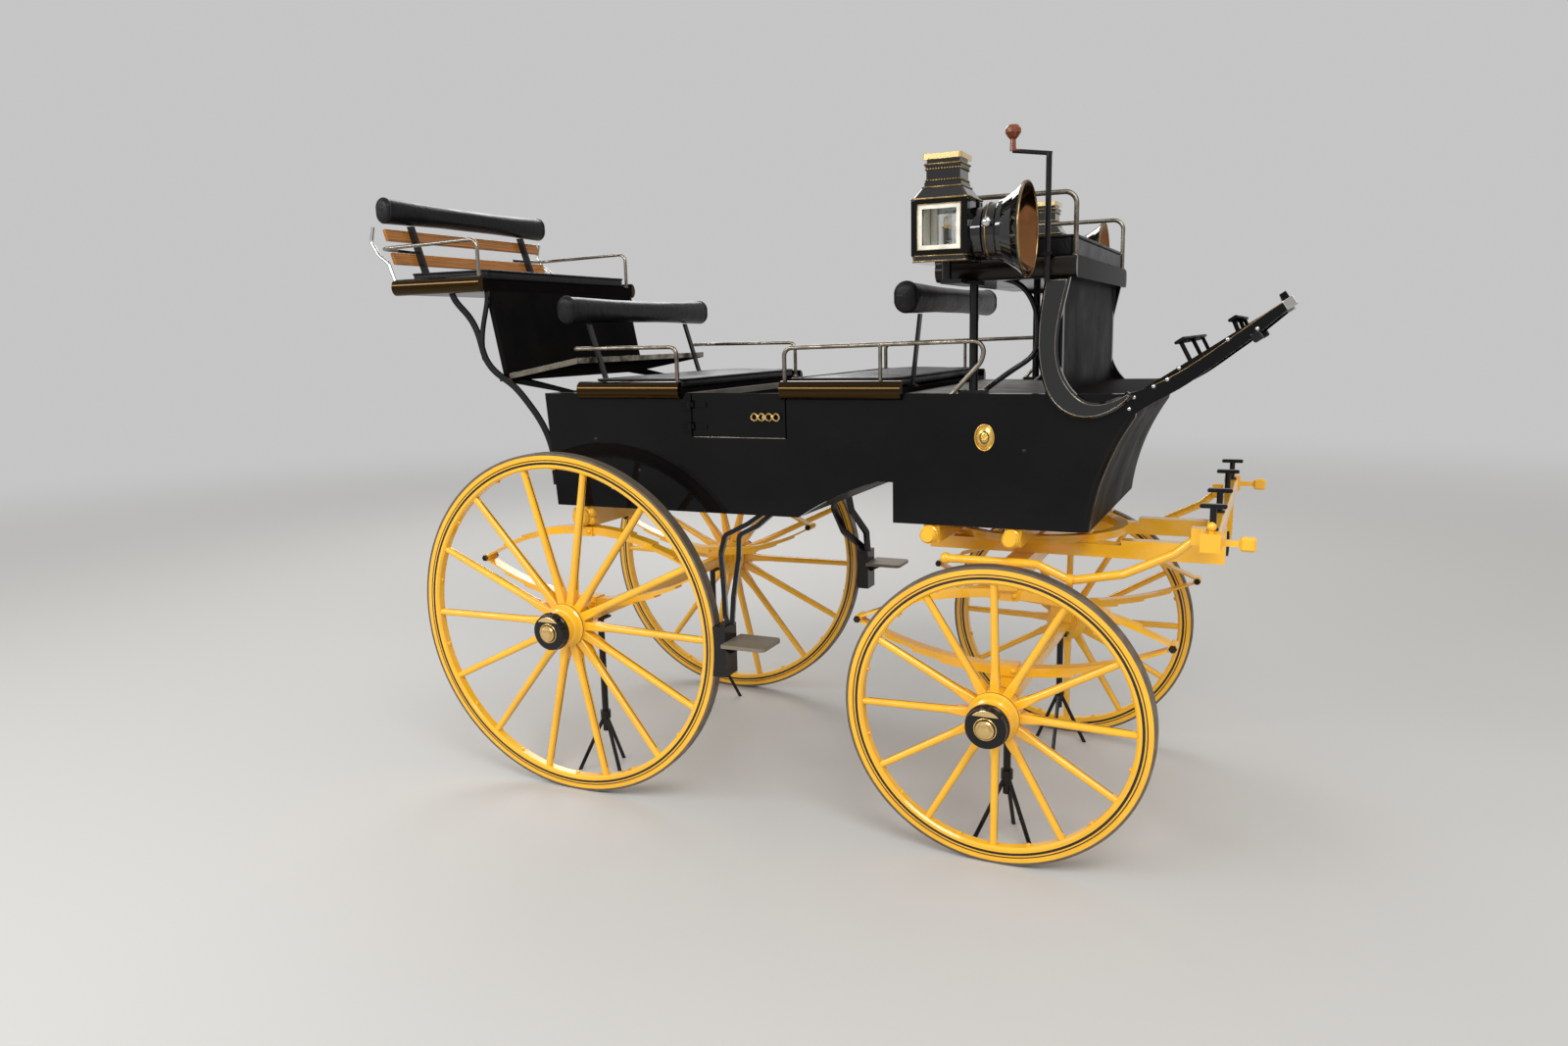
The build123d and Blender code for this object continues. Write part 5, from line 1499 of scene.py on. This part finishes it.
# %% Beads along a solid's outline
def outer_outline(node, y):
    """The corners round a solid's flat face at a distance to the left, in their order."""
    mesh = nodes[node].data
    flat = [face for face in mesh.polygons if face.normal.y > 0.99 and abs(face.center.y - y) < 0.0005]
    place_of = {i: tuple(round(c, 5) for c in mesh.vertices[i].co) for face in flat for i in face.vertices}
    uses = {}
    for face in flat:
        ring = [place_of[i] for i in face.vertices]
        for a, b in zip(ring, ring[1:] + ring[:1]):
            uses[frozenset((a, b))] = uses.get(frozenset((a, b)), 0) + 1
    # An edge of one triangle only lies on the outline
    beside = {}
    for a, b in (edge for edge, count in uses.items() if count == 1):
        beside.setdefault(a, []).append(b)
        beside.setdefault(b, []).append(a)
    first = min(beside)
    outline, last, here = [first], None, first
    while True:
        after = [corner for corner in beside[here] if corner != last]
        last, here = here, after[0]
        if here == first:
            return outline
        outline.append(here)


wing_face = outer_outline("riser_wings", wings_high[1])
both_sides("wing_beads", bar_on(wing_face, 0.0017, pewter), "carriage")


def above_beam(corner):
    """Whether a corner of the hull's side lies along the top of the footboard's beam."""
    return corner[0] > ahead(1.905) and corner[2] > hull_top + 0.658 * (corner[0] - ahead(1.879)) - 0.012


# A brass bead on the top of each beam; its bright line also stands for the highlight along the beam's top edge, a
# painted highlight.
on_beam = sorted(corner for corner in outer_outline("hull_side_left", hull_half_width) if above_beam(corner))
both_sides("beam_highlight_beads", bar_on(on_beam, 0.0014, dull_brass, closed=False), "carriage")

door_low, door_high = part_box("door_left")
# A pewter bead below each door; its pale line also stands for the highlight along the door's lower edge, a painted
# highlight.
below_door = [(x, hull_half_width, door_low[2] - 0.0035) for x in (ahead(0.458), door_high[0])]
both_sides("door_highlight_beads", bar_on(below_door, 0.0016, pewter, closed=False), "carriage")
print(len(wing_face), "corners round a wing,", len(on_beam), "along a beam")

# %% [markdown]
# A strip of plate keeps boots from splitting the edge of the sloping board. It is laid level along both
# sides and the front end, and one shear then lifts it to the board's slope. A turn would tip its end out
# of upright.

# %% Edging on the sloping board
BOARD_LIFT = 0.060
STRIP_DEPTH = 0.019
STRIP_PROUD = 0.0014
BOARD_FOOT = 0.040
STRIP_START = 0.046
boards_low, boards_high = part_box("groom_boards")
end_x, board_y = boards_high[0], boards_high[1]
foot_x, foot_z = boards_low[0] + BOARD_FOOT, hull_top + BOARD_LIFT
climb = BOARD_LIFT / (end_x - foot_x)
slope_up = Matrix(((1, 0, 0, 0), (0, 1, 0, 0), (climb, 0, 1, -climb * foot_x), (0, 0, 0, 1)))
strip_low, strip_high = foot_z - STRIP_DEPTH, foot_z + 0.0008
side_strip = block("side strip", (foot_x + STRIP_START, board_y - 0.0005, strip_low),
                   (end_x + 0.001, board_y + STRIP_PROUD, strip_high), 0.0005)
end_strip = block("end strip", (end_x - 0.0005, -board_y - 0.001, strip_low),
                  (end_x + STRIP_PROUD, board_y + 0.001, strip_high), 0.0005)
other_strip = moved(copy_of(side_strip, "other strip"), MIRROR)
edging = joined("groom_board_edging", [dress(strip, pewter) for strip in (side_strip, end_strip, other_strip)])
hand_over(moved(edging, slope_up), "carriage")
print("edging climbs", round(climb, 3), "a metre")
